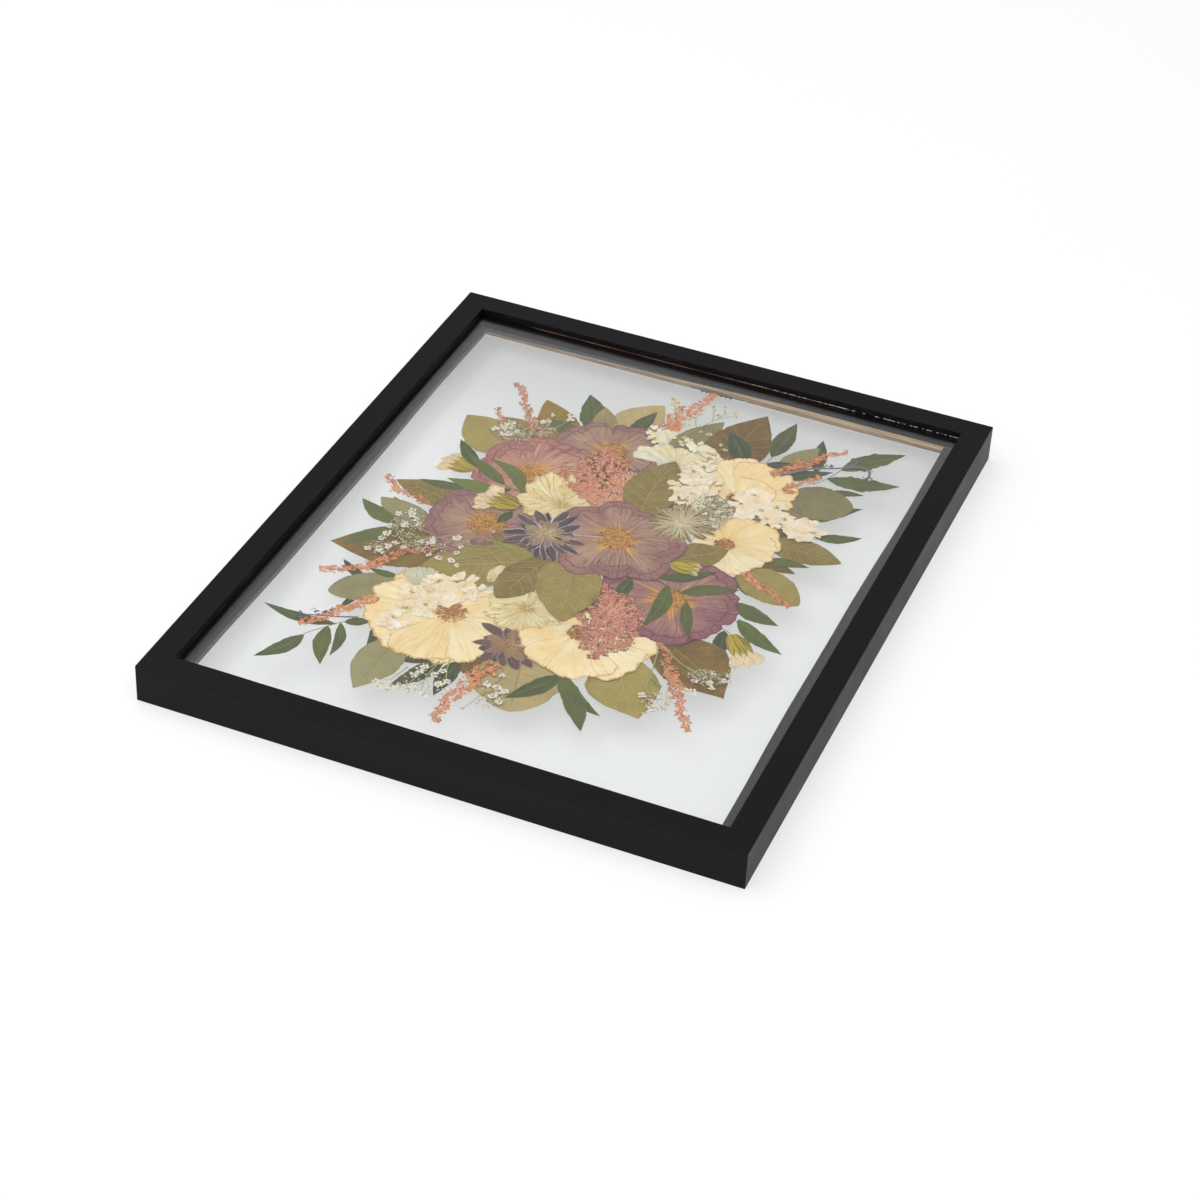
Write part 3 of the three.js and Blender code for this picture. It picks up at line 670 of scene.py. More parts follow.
# Each sprig: layer, the line of its stem, and its leaves as stalk end, tip, width, bend, tone.
sprigs = {
    "ruscus_upper_left": (5, [(-68, 40), (-80, 39.5), (-87, 43), (-114, 58)], [
        ((-113, 55), (-139.5, 81.5), 11, 1, 0.6), ((-86.5, 43), (-125, 66.8), 10.5, 0.5, 0.3),
        ((-71, 40.3), (-108.6, 68.2), 12, -6.4, 0.2), ((-80, 39.8), (-84.5, 34.5), 3, 0, 0.7)]),
    "ruscus_upper_right": (1, [(129, 172), (123, 156), (116, 144)], [
        ((128.4, 170), (165.5, 210.5), 18, 2, 0.5), ((122.6, 155), (174.3, 169), 17, -3, 0.45)]),
    "ruscus_on_rose": (6, [(50, -15), (67, -20.5), (77, -24), (86, -34)], [
        ((76.5, -23.7), (113, -3), 12, 2, 0.45), ((65.5, -19.8), (67, -70), 12.5, 4, 0.5),
        ((84, -31.2), (101, -69.5), 9, -1, 0.5)]),
    "ruscus_bottom": (1, [(36, -138), (40, -147), (46, -152)], [
        ((38, -142.6), (13.5, -181), 15, 2, 0.6), ((37, -140), (78, -171.5), 14, -6, 0.5),
        ((43, -149.5), (72.5, -191.5), 15, 2, 0.45)]),
    "ruscus_lower_left": (0, [
        (-103, -143), (-119, -154), (-128, -165), (-136, -176), (-137, -186)], [
        ((-122, -158), (-177.5, -157.5), 10, 4, 0.6), ((-136.3, -178), (-156, -213), 13, 3, 0.55),
        ((-126, -162.6), (-112, -202), 12, -2, 0.4), ((-120, -155.3), (-110.5, -191), 8, 3, 0.5),
        ((-118, -153.4), (-101, -144), 9, 0, 0.6)]),
}
for seed, (node, (k, line, leaves)) in enumerate(sprigs.items()):
    sprig = Press()
    stem(sprig, line, level(k) + STEM_LIFT, radius=0.45, tone=0.1, flat=0.15)
    for i, (base, tip, width, bend, tone) in enumerate(leaves):
        nicks = 0.15 if node == "ruscus_upper_right" else 0.07
        blade(sprig, level(k) + SPRIG_STEP * (i % 3), base, tip, width, tone, bend, plump=0.95,
              ragged=nicks, rows=40, cols=9, seed=20 * seed + i)
    sprig.piece("pressed_" + node, green, "ruscus_green", node)

# Each row: layer, stalk end, tip, width, bend, tone.
single_leaves = [
    (-0.05, (-58, 136), (-77.5, 182), 22, -3, 0.5), (-0.19, (-66, 128), (-92, 136), 17, 0, 0.3),
    (-0.10, (-30, 145), (-22.5, 182), 13, 0, 0.6), (0.3, (60, 146), (36, 182), 19, -2, 0.8),
    (0.5, (76, 164), (78, 214.4), 16, 0, 0.6), (-0.19, (112, 160), (103.4, 202), 12, 0, 0.7),
    (0.3, (86, 138), (124, 165), 13, 0, 0.7), (0.5, (74, 150), (96, 163), 9, 0, 0.8),
    (-0.19, (128, 138), (154, 147), 8, 1, 0.6), (-0.10, (126, 96), (158.5, 130.5), 13, 2, 0.7),
    (-0.19, (138, 82), (170, 95.6), 11, -2, 0.5), (4.3, (-86, 33.6), (-127.5, 31.8), 13.5, 1, 0.0),
    (0.8, (-109, 27), (-146, 22.5), 10, 1, 0.5), (4.3, (-67.5, 14), (-72, -3.75), 8, 0, 0.7),
    (5.2, (56, -14), (91, 10), 12, -2, 0.6), (5.4, (39, -22), (38, -53), 11, 1, 0.6),
    (-0.10, (114, -16), (150.6, -28), 15, -2, 0.5), (0.1, (123, -33), (163.75, -57), 14, -3, 0.4),
    (-0.19, (119, -49), (124, -81), 12, 1, 0.8), (-0.10, (-95, -136), (-92, -173), 13, 2, 0.8),
    (-0.10, (-40, -160), (-61, -203), 15, 2, 0.7), (-0.05, (-30, -158), (-30, -199), 14, -1, 0.8),
    (-0.10, (-127, -104), (-151, -89), 8, 1, 0.8), (0.4, (-107, -91), (-130.6, -90.6), 7, 1, 0.5),
    (-0.05, (-136, -35), (-172, -17), 14, 2, 0.35), (-0.19, (-134, -25), (-152, -5), 11, 0, 0.5),
    (0.5, (-133, -42), (-160, -73), 14, -2, 0.35), (1.0, (116, 40), (147.5, 45), 10, 1, 0.4),
    (-0.10, (104, 17), (119, -5), 10, 0, 0.5), (-0.10, (112, 62), (122, 79), 13, 0, 0.6),
    (-0.19, (-124, -120), (-128, -141), 6, 0, 0.9), (0.2, (-108, -52), (-122, -70), 8, 1, 0.6),
    (-0.19, (96, 82), (121, 62), 17, 1, 0.7), (-0.16, (-40, -150), (-66, -176), 16, 1, 0.8),
]
singles = Press()
for seed, (k, base, tip, width, bend, tone) in enumerate(single_leaves):
    blade(singles, level(k + SINGLE_STEP * (seed % 5)), base, tip, width, tone, bend, plump=0.95,
          ragged=0.07, rows=28, cols=7, thick=PART_LEAF_THICK, seed=seed + 200)
# Each row: layer and line.
stalks = [
    (0.6, [(78, 172), (76, 160), (75, 150)]), (0.1, [(121, -33), (123, -36), (127, -41)]),
    (0.1, [(-141, -35), (-135, -39), (-129, -41)]), (1.4, [(-45, -165), (-56, -182)]),
    (1.2, [(98, -144), (104, -140), (109, -137)]), (1.5, [(150, 84), (141, 80), (130, 74)]),
    (1.0, [(117, -48), (122, -49.5), (127, -53)]),
]
for k, line in stalks:
    stem(singles, line, level(k) + STALK_LIFT, radius=0.4, tone=0.15, flat=0.1)
singles.piece("single_ruscus_leaves", green, "ruscus_green")

# ---- Mauve roses --------------------------------------------------------------------
# Garden roses pressed open. Their petals have dried mauve and papery, creased where
# they folded over, yellow at the claw; a ring of stamens stands round each heart.
PETAL_THICK = 0.010
PETAL_STEP = 0.014
CLAW_FROM = 0.04
GRAIN_HIGH = 0.025
CROWN_LIFT = 0.165


def fan(press, centre, petal, z, tone, seed, cols, teeth=0, bite=0.0, stray=0.035, rows=16,
        thick=PETAL_THICK, drop=0.24):
    """One petal: rays spread to both sides of its direction, each as long as the rim
    allows. The rim drops away to the sides, strays a little and may be cut into teeth."""
    way, reach, spread = petal
    v, t = np.meshgrid(np.linspace(CLAW_FROM, 1, rows), np.linspace(-1, 1, cols), indexing="ij")
    rim = 1 - drop * np.abs(t) ** 2.6 + wander(t * 0.5, seed, stray, 1.3)
    if teeth:
        notch = np.abs(((t * 0.5 + 0.5) * teeth) % 1 - 0.5) * 2
        rim = rim - bite * notch * (0.7 + wander(t, seed + 9, 0.6, 2.0))
    lean = wander(v, seed + 5, 0.06, 0.7)
    angle = np.radians(way + spread * (t * (1 - 0.10 * v ** 4) + lean))
    far = reach * rim * v
    press.sheet(centre[0] + far * np.cos(angle), centre[1] + far * np.sin(angle), z, thick, tone)


def petal_look(name, body, flush, claw, rim, vein, wrinkle, double, claw_end=0.36, veins=26.0,
               rim_share=0.55, blush=0.5, margin=0.0, pleats=0.4):
    """A dried petal: fine veins and a few long folds that fan from the claw, a flush of a
    second colour in patches, a coloured claw, a darker rim and the rim of the petal below
    showing through as a second line, with painted shade on the band between that line and the rim."""
    look = Look(name)
    point = look.place()[0]
    across, along = look.grid()
    tone = look.tone()
    off = abs(across - 0.5) * 2.0
    cloud = look.noise(point, 45.0, 4.0, 0.6)
    fine = look.noise(point, 420.0, 4.0, 0.6)
    rays = look.noise(look.vector(across * veins, along * 2.2, tone * 20.0), 1.0, 4.0, 0.6)
    ray = look.ease(rays, 0.5, 0.64)
    long_field = look.noise(look.vector(across * 4.0, along * 0.9, tone * 33.0), 1.0, 2.0, 0.4)
    fold = look.ease(abs(long_field - 0.5), 0.022, 0.003) * look.ease(long_field, 0.4, 0.5)
    from_lap = along + (cloud - 0.5) * 0.3 - 0.84
    lap_line = look.ease(abs(from_lap), 0.018, 0.004) * double
    lap_shade = look.ease(from_lap, -0.01, 0.01) * double
    crimp = look.noise(look.vector(across * veins, along * 16.0, tone * 7.0), 1.0, 3.0)
    base = look.mix((cloud - 0.5) * 2.0 + 0.2 + tone * blush, body, flush)
    base = look.mix(look.ease(along + (cloud - 0.5) * 0.5, 0.5, 1.05) * margin, base, rim)
    base = look.mix(ray * pleats, base, vein)
    base = look.mix(look.ease(crimp, 0.5, 0.7) * 0.35 * wrinkle, base, vein)
    # Painted shade: the band between the second line and the rim is darkened a little.
    base = look.mix(lap_shade * 0.2, base, vein)
    crease = (fold * wrinkle).math("MAXIMUM", lap_line) * look.ease(along, 0.2, 0.45)
    base = look.mix(crease * 0.6, base, rim)
    edge = look.ease(along + (fine - 0.5) * 0.08, 0.955, 0.995)
    side = look.ease(off, 0.95, 1.0) * look.ease(along, 0.3, 0.6)
    base = look.mix(edge.math("MAXIMUM", side * 0.8) * rim_share, base, rim)
    reach = along + (rays - 0.5) * 0.9 + off * off * 0.25
    base = look.mix(look.ease(reach, claw_end, claw_end * 0.3), base, claw)
    base = look.mix((fine - 0.5) * 0.5, base, vein)
    height = fine * 0.5 - ray * 1.25 * pleats - crease * 0.9 - crimp * 1.2 * wrinkle + cloud * 0.8
    return look.skin(base, fine * 0.2 + 0.55, height, 0.5 * MM, Specular_IOR_Level=0.3)


def grain_look(name, pale, deep, patch=300.0, outline=0.0, blush=None):
    """Small dry grains and threads, each with its own tone between two colours. outline
    darkens them toward their rims as painted shade, and blush tints some of the patches."""
    look = Look(name)
    point = look.place()[0]
    mottle = look.noise(point, patch, 3.0)
    base = look.mix(look.tone() + (mottle - 0.5) * 0.8, pale, deep)
    if blush:
        base = look.mix(look.ease(look.noise(point, 110.0, 2.0), 0.46, 0.6) * 0.6, base, blush)
    if outline:
        across, along = look.grid()
        from_middle = ((across - 0.5) * (across - 0.5) + (along - 0.5) * (along - 0.5)) ** 0.5
        # Painted shade: each grain darkens toward its rim, for the shade on its rounded sides and in
        # the gaps between grains.
        base = look.mix(look.ease(from_middle, 0.16, 0.44) * outline, base, deep)
    return look.skin(base, mottle * 0.2 + 0.6, mottle, 0.2 * MM, Specular_IOR_Level=0.3)


def stamens(press, centre, count, inner, outer, z, seed, anther, thread=0.15):
    """Threads that leave the heart in all directions, and a flattened grain at each end.
    Their lengths run between the two radii, and each bows a little to one side."""
    rng = np.random.default_rng(seed)
    way = rng.uniform(0, 2 * np.pi, count)
    far = inner + (outer - inner) * rng.uniform(0.15, 1, count) ** 0.8
    bow = rng.normal(0, 0.18, count)
    s = np.linspace(0.12, 1, 4)
    radius = far[:, None] * s
    angle = way[:, None] + bow[:, None] * s ** 2
    paths = np.stack([centre[0] + radius * np.cos(angle), centre[1] + radius * np.sin(angle),
                      np.full(radius.shape, z)], -1)
    press.rods(paths, thread, rng.uniform(0, 0.35, count), flat=0.12, sides=3)
    sizes = anther * rng.uniform(0.7, 1.3, (count, 3)) * [1.0, 0.65, 0]
    sizes[:, 2] = 0.028
    ends = paths[:, -1] + [0, 0, 0.01]
    press.grains(ends, sizes, angle[:, -1] + rng.normal(0, 0.7, count), rng.uniform(0.3, 1, count))
    boss = count // 2
    near = inner * np.sqrt(rng.uniform(0, 1, boss))
    turn = rng.uniform(0, 2 * np.pi, boss)
    heart = np.stack([centre[0] + near * np.cos(turn), centre[1] + near * np.sin(turn),
                      np.full(boss, z + 0.005)], -1)
    sizes = np.column_stack([rng.uniform(0.4, 0.8, (boss, 2)), np.full(boss, GRAIN_HIGH)])
    press.grains(heart, sizes, turn, rng.uniform(0.3, 0.9, boss))


mauve = petal_look("mauve_rose_petal", dry(192, 162, 136), dry(174, 136, 128), dry(238, 182, 66),
                   dry(126, 82, 98), dry(150, 110, 108), claw_end=0.42, wrinkle=0.8,
                   double=1.0, margin=0.45)
plum = petal_look("plum_rose_petal", dry(190, 154, 136), dry(168, 124, 124), dry(240, 178, 62),
                  dry(118, 70, 94), dry(142, 96, 106), claw_end=0.42, wrinkle=0.8,
                  double=1.0, margin=0.5)
rosy = petal_look("pink_rose_petal", dry(216, 172, 142), dry(198, 140, 134), dry(240, 178, 62),
                  dry(120, 66, 94), dry(166, 112, 116), claw_end=0.42, wrinkle=0.8,
                  double=1.0, margin=0.35)
rose_gold = grain_look("rose_stamens", dry(226, 172, 98), dry(116, 66, 42), 500.0)
# Each rose: layer, centre, petals as direction, length and half spread, radius of its heart
# and look. The first petal lies lowest.
mauve_roses = {
    "mauve_rose_top": (0.35, (-32, 117), [
        (345, 37, 24), (298, 30, 30), (205, 46, 26), (25, 28, 28), (168, 46, 26), (95, 38, 22),
        (138, 42, 24), (66, 42, 27)], 11, mauve),
    "mauve_rose_upper_left": (2, (-76, 62), [
        (182, 40, 26), (340, 34, 26), (22, 43, 30), (300, 30, 26), (262, 36, 26), (106, 51, 30),
        (158, 40, 22), (228, 42, 26), (200, 42, 26), (136, 46, 34), (62, 51, 30), (134, 41, 29)],
        13, rosy),
    "mauve_rose_left": (3, (-77.5, -7), [
        (52, 37, 36), (8, 36, 40), (280, 27, 30), (124, 44, 26), (240, 48, 23), (206, 46, 26),
        (168, 45, 34), (92, 33, 20), (143, 48, 22)], 14, mauve),
    "mauve_rose_right": (4, (74, -33), [
        (118, 38, 34), (168, 56, 24), (190, 54, 22), (216, 50, 22), (205, 56, 20), (252, 50, 24),
        (288, 51, 32), (325, 48, 25), (60, 52, 30), (25, 46, 24), (2, 48, 26)], 11, plum),
    "mauve_rose_middle": (7, (13, 16), [
        (162, 48, 34), (222, 50, 24), (112, 46, 27), (250, 53, 26), (325, 53, 27), (72, 40, 24),
        (286, 47, 27), (12, 49, 37), (287, 40, 22), (10, 44, 26)], 13, mauve),
}
ROSE_SLOTS = {mauve: "mauve_petals", plum: "plum_petals", rosy: "plum_petals"}
for seed, (node, (k, centre, petals, heart, look)) in enumerate(mauve_roses.items()):
    bloom = Press()
    rng = np.random.default_rng(seed + 11)
    for i, petal in enumerate(petals):
        fan(bloom, centre, petal, level(k) + PETAL_STEP * i, rng.uniform(0, 1), 100 * seed + i,
            rows=14, cols=29, drop=0.17)
    bloom.piece(node + "_petals", look, ROSE_SLOTS[look], node)
    crown = Press()
    stamens(crown, centre, 240, heart * 0.35, heart * 1.1, level(k) + CROWN_LIFT, seed,
            anther=0.72)
    crown.piece(node + "_stamens", rose_gold, ROSE_SLOTS[look])

# ---- Cream roses --------------------------------------------------------------------
# Roses whose petals have dried ivory to apricot, ragged along the rim, with amber
# veins and a dark brown heart.
cream = petal_look("cream_rose_petal", dry(250, 238, 202), dry(244, 212, 148), dry(232, 180, 104),
                   dry(206, 158, 100), dry(238, 202, 148), claw_end=0.28, wrinkle=0.3, veins=34.0,
                   rim_share=0.85, double=0.0, pleats=0.24)
ivory = petal_look("ivory_petal", dry(248, 244, 222), dry(238, 222, 172), dry(222, 204, 138),
                   dry(214, 188, 134), dry(232, 214, 168), claw_end=0.2, wrinkle=0.4,
                   rim_share=0.4, double=0.2)
brown_heart = grain_look("brown_stamens", dry(206, 154, 98), dry(126, 76, 50), 700.0)
# Written as the mauve roses are.
cream_roses = {
    "cream_rose_lower_left": (1, (-57, -112), [
        (110, 38, 40), (68, 38, 36), (25, 39, 38), (148, 57, 28), (180, 59, 26), (238, 60, 26),
        (282, 57, 26), (334, 46, 32), (212, 61, 28), (306, 55, 28), (262, 58, 30)], 11, cream),
    "cream_rose_bottom": (3, (31, -95), [
        (110, 21, 50), (62, 26, 50), (192, 38, 28), (22, 53, 28), (222, 43, 30), (0, 55, 28),
        (258, 46, 34), (330, 55, 32), (296, 51, 36)], 9, cream),
    "cream_rose_right": (3, (84, 43), [
        (178, 23, 36), (140, 30, 40), (276, 35, 18), (108, 37, 32), (302, 36, 22), (326, 34, 24),
        (78, 41, 30), (350, 35, 28), (46, 43, 34), (18, 38, 30)], 8, cream),
    "cream_rose_upper_right": (2, (72, 101), [
        (210, 22, 50), (290, 22, 50), (160, 30, 34), (8, 36, 30), (128, 47, 30), (30, 42, 30),
        (100, 53, 34), (54, 48, 34), (78, 52, 36), (66, 31, 48)], 8, cream),
    "cream_petals_top": (1, (15, 122), [
        (338, 46, 26), (306, 46, 22), (50, 38, 24), (18, 38, 24), (300, 20, 32), (14, 20, 36),
        (60, 22, 32), (100, 23, 26), (136, 28, 24), (170, 34, 20)], 0, ivory),
}
CREAM_SLOTS = {cream: "cream_petals", ivory: "pale_petals"}
for seed, (node, (k, centre, petals, heart, look)) in enumerate(cream_roses.items()):
    bloom = Press()
    rng = np.random.default_rng(seed + 71)
    for i, petal in enumerate(petals):
        fan(bloom, centre, petal, level(k) + PETAL_STEP * i, rng.uniform(0, 1), 400 + 20 * seed + i,
            teeth=17, bite=0.03, stray=0.05, rows=11, cols=51, drop=0.1)
    bloom.piece(node + "_petals", look, CREAM_SLOTS[look], node)
    if heart:
        crown = Press()
        stamens(crown, centre, 130, heart * 0.45, heart, level(k) + CROWN_LIFT, seed + 40,
                anther=0.8)
        crown.piece(node + "_stamens", brown_heart, "cream_petals")

# ---- Carnations ---------------------------------------------------------------------
# Pale carnations split and pressed flat: broad fans with a pinked edge, crimped along
# their length.
# Each carnation: layer, centre and petals, as for the roses.
carnations = {
    "carnation_upper": (4, (-38, 36), [
        (250, 19, 40), (330, 16, 60), (215, 29, 30), (183, 34, 28), (38, 28, 30), (152, 37, 28),
        (75, 31, 32), (112, 40, 26), (132, 43, 24)]),
    "carnation_lower": (4, (-12, -86), [
        (90, 20, 34), (20, 26, 30), (345, 27, 26), (135, 28, 30), (312, 24, 26),
        (185, 28, 30), (278, 26, 26), (215, 30, 24), (246, 29, 24)]),
}
pinked = petal_look("carnation_petal", dry(252, 242, 200), dry(244, 216, 150), dry(226, 190, 112),
                    dry(212, 170, 108), dry(222, 186, 128), claw_end=0.3, wrinkle=1.0, veins=30.0,
                    rim_share=0.4, double=0.0)
for seed, (node, (k, centre, petals)) in enumerate(carnations.items()):
    bloom = Press()
    rng = np.random.default_rng(seed + 91)
    for i, petal in enumerate(petals):
        fan(bloom, centre, petal, level(k) + PETAL_STEP * i, rng.uniform(0, 1), 600 + 20 * seed + i,
            teeth=16, bite=0.07, stray=0.07, rows=10, cols=65)
    bloom.piece(node + "_petals", pinked, "pale_petals", node)

# Two petals came loose: a green-white one lies at the edge of the lower left rose, and a
# small oval one beside the lower carnation.
green_white = petal_look("green_white_petal", dry(214, 210, 186), dry(194, 192, 164),
                         dry(210, 196, 144), dry(180, 168, 112), dry(196, 186, 140),
                         wrinkle=0.3, double=0.0)
torn = Press()
fan(torn, (-86, -98), (119, 27, 36), level(2.8), 0.2, 5, cols=37, teeth=9, bite=0.06, drop=0.12)
torn.piece("loose_green_white_petal", green_white, "pale_petals")
oval = Press()
blade(oval, level(4.6), (-48, -71), (-46.8, -47.5), 11, 0.2, ragged=0.08, thick=PART_LEAF_THICK,
      seed=6, **ROUND)
oval.piece("loose_oval_petal", pinked, "pale_petals")

# ---- Star flowers -------------------------------------------------------------------
# Heads of narrow papery petals round a knot of florets: two have dark petals with pale
# edges, and one is a straw-coloured tuft of feathery threads.


RAY_STEP = 0.012
INNER_LIFT = 0.07
KNOT_LIFT = 0.15


def star_look(name, dark, pale, haze):
    """A papery ray: dark along its middle and its tip, pale at the edges and the foot."""
    look = Look(name)
    point = look.place()[0]
    across, along = look.grid()
    off = abs(across - 0.5) * 2.0
    mottle = look.noise(point, 350.0, 4.0)
    streak = look.noise(look.vector(across * 9.0, along * 2.0, look.tone() * 30.0), 1.0, 3.0)
    base = look.mix(look.tone() * 0.3 + (streak - 0.5) * 1.6 + 0.1, dark, haze)
    base = look.mix(look.ease(along, 0.5, 0.1) * 0.6, base, haze)
    rim = look.ease(off + (mottle - 0.5) * 0.5, 0.78, 0.94)
    base = look.mix(rim * 0.9, base, pale)
    return look.skin(base, mottle * 0.2 + 0.5, streak, 0.4 * MM, Specular_IOR_Level=0.35)


def polar(centre, degrees, radius):
    """The point that lies at this angle and distance from the centre."""
    return (centre[0] + radius * np.cos(np.radians(degrees)),
            centre[1] + radius * np.sin(np.radians(degrees)))


def rays(press, centre, foot, ways, width, z, rng):
    """Narrow petals from a ring round the centre, each at its own angle and reach."""
    for i, (way, reach) in enumerate(ways):
        blade(press, z + RAY_STEP * (i % 5), polar(centre, way, foot), polar(centre, way, reach),
              width * rng.uniform(0.8, 1.15), rng.uniform(0, 1), rng.normal(0, 0.8), fullest=0.6,
              plump=0.72, ragged=0.08, rows=14, cols=7, thick=PETAL_THICK, seed=i)


# Each flower: layer, centre, radius of its knot, outer rays as direction and reach, their
# width, how many inner rays, slot, and the shades of outer rays, inner rays and knot.
stars = {
    "star_flower_plum": (8, (-35, -1), 8.5, [
        (84, 33), (68, 32.5), (110, 26), (128, 29), (155, 31), (176, 21), (202, 31), (222, 33),
        (244, 24), (263, 24), (279, 30), (292, 32), (303, 34), (322, 27), (337, 33), (0, 30),
        (22, 20), (47, 27)], 8.0, 11, "star_plum",
        (dry(84, 74, 80), dry(206, 192, 186), dry(146, 126, 122)),
        (dry(144, 122, 104), dry(200, 180, 178), dry(186, 166, 136)),
        (dry(220, 194, 140), dry(150, 116, 112))),
    "star_flower_brown": (2, (-6, -128), 9, [
        (153, 31), (120, 19), (95, 17), (60, 17), (198, 26), (215, 22), (243, 26), (262, 22),
        (281, 23), (303, 27), (325, 28), (345, 22), (178, 20)], 9.0, 9, "star_brown",
        (dry(98, 82, 84), dry(170, 150, 134), dry(148, 120, 106)),
        (dry(140, 114, 94), dry(160, 128, 140), dry(184, 156, 118)),
        (dry(196, 160, 110), dry(120, 84, 92))),
}
for seed, (node, row) in enumerate(stars.items()):
    k, centre, head, ways, width, inner, slot, outer_shades, inner_shades, knot = row
    rng = np.random.default_rng(seed + 5)
    bloom = Press()
    rays(bloom, centre, head * 0.3, ways, width, level(k), rng)
    bloom.piece("pressed_" + node, star_look(node + "_ray", *outer_shades), slot, node)
    florets = Press()
    ring = [(n * 360 / inner + rng.normal(0, 8), head * rng.uniform(1.5, 2.3))
            for n in range(inner)]
    rays(florets, centre, head * 0.2, ring, width * 0.7, level(k) + INNER_LIFT, rng)
    florets.piece(node + "_inner_rays", star_look(node + "_inner", *inner_shades), slot)
    crown = Press()
    stamens(crown, centre, 80, head * 0.4, head * 1.2, level(k) + KNOT_LIFT, seed + 60,
            anther=0.5)
    stamens(crown, centre, 26, head * 0.5, head * 2.3, level(k) + KNOT_LIFT, seed + 61,
            anther=0.4)
    crown.piece(node + "_knot", grain_look(node + "_threads", *knot), slot)

STRAW_CENTRE = (47, 54)
STRAW_LEVEL = level(8)
# Each ring: lift above its layer, how many rays, reach, width, look.
straw_rays = {
    "straw_outer_rays": (0.0, 30, 25, 3.6, star_look(
        "straw_brown_ray", dry(134, 116, 84), dry(218, 208, 184), dry(160, 140, 106))),
    "pressed_star_flower_straw": (0.065, 26, 19, 2.0, star_look(
        "straw_pale_ray", dry(178, 160, 116), dry(238, 232, 208), dry(204, 188, 144))),
}
rng = np.random.default_rng(8)
for name, (lift, count, reach, width, look) in straw_rays.items():
    tuft = Press()
    ways = [(n * 360 / count + rng.normal(0, 4), reach * rng.uniform(0.82, 1.12))
            for n in range(count)]
    rays(tuft, STRAW_CENTRE, 3, ways, width, STRAW_LEVEL + lift, rng)
    stands_for = ["star_flower_straw"] if name.startswith("pressed") else []
    tuft.piece(name, look, "star_straw", *stands_for)
fluff = Press()
stamens(fluff, STRAW_CENTRE, 80, 8, 27, STRAW_LEVEL + 0.14, 9, anther=0.3, thread=0.17)
stamens(fluff, STRAW_CENTRE, 90, 2, 9, STRAW_LEVEL + KNOT_LIFT, 10, anther=0.5, thread=0.2)
fluff.piece("straw_fluff", grain_look("straw_threads", dry(236, 226, 194), dry(176, 156, 112)),
            "star_straw")

# ---- Astilbe ------------------------------------------------------------------------
# Plumes and thin spikes of astilbe: hundreds of tiny dry buds crowded along branching
# stems, faded to salmon and dusty pink.


KNOT_APART = 3.0
KNOT_GRAINS = 8
BRANCH_STEPS = 90


def spray(press, branches, z, seed, grain, crowd):
    """Grains in small knots along each branch. A branch is the points that it follows and
    its width. Knots stand to both sides of it and shrink to its tip, and a deeper layer of
    darker grains fills between them: their darker tone is painted shade in the gaps."""
    rng = np.random.default_rng(seed)
    for points, width in branches:
        line = curve(points, BRANCH_STEPS)
        length = np.hypot(*np.diff(line, axis=0).T).sum()
        knots = int(length / KNOT_APART * max(width / 4.5, 1.0))
        at = (np.arange(knots) + rng.uniform(0.2, 0.8, knots)) / knots
        taper = 1 - 0.5 * at ** 2
        away = rng.choice([-1, 1], knots) * rng.uniform(0.05, 1, knots) ** 0.7
        aside = away * np.maximum(width - 2.4, 3.0) / 2 * taper
        each = int(KNOT_GRAINS * crowd)
        s = np.repeat(at, each) + rng.normal(0, 0.36 * KNOT_APART / length, knots * each)
        i = np.clip(s * (BRANCH_STEPS - 1), 0, BRANCH_STEPS - 2).astype(int)
        way = line[i + 1] - line[i]
        way /= np.hypot(*way.T)[:, None]
        side = np.stack([-way[:, 1], way[:, 0]], -1)
        out = np.repeat(aside, each) + rng.normal(0, 1.05, knots * each)
        spot = line[i] + side * out[:, None]
        # The deeper grains take the dark tone as painted shade between the knots.
        deep = rng.uniform(0, 1, knots * each) < 0.4
        size = grain * rng.uniform(0.8, 1.25, (knots * each, 1)) * [1.12, 0.92, 1.0]
        size[:, 2] = 0.035
        height = z + 0.04 + np.where(deep, 0.0, 0.06) + rng.uniform(0, 0.05, knots * each)
        shade = np.repeat(rng.normal(0, 0.16, knots), each)
        tones = np.where(deep, 0.75, rng.uniform(0.0, 0.35, knots * each)) + shade
        turns = np.arctan2(way[:, 1], way[:, 0]) + rng.normal(0, 0.6, knots * each)
        press.grains(np.column_stack([spot, height]), size, turns, tones)
        path = np.column_stack([line[::4], np.full(len(line[::4]), z + 0.06)])
        press.rods([path], 0.32 * np.linspace(1, 0.4, len(path)), 0.95, flat=0.1)


salmon = grain_look("astilbe_salmon_grains", dry(255, 190, 140), dry(150, 80, 60), 420.0, 0.5,
                    dry(244, 160, 114))
dusty = grain_look("astilbe_dusty_grains", dry(255, 196, 156), dry(134, 68, 62), 420.0, 0.62,
                   dry(238, 160, 136))
pink = grain_look("astilbe_pink_grains", dry(252, 192, 160), dry(130, 66, 68), 420.0, 0.66,
                  dry(228, 150, 142))
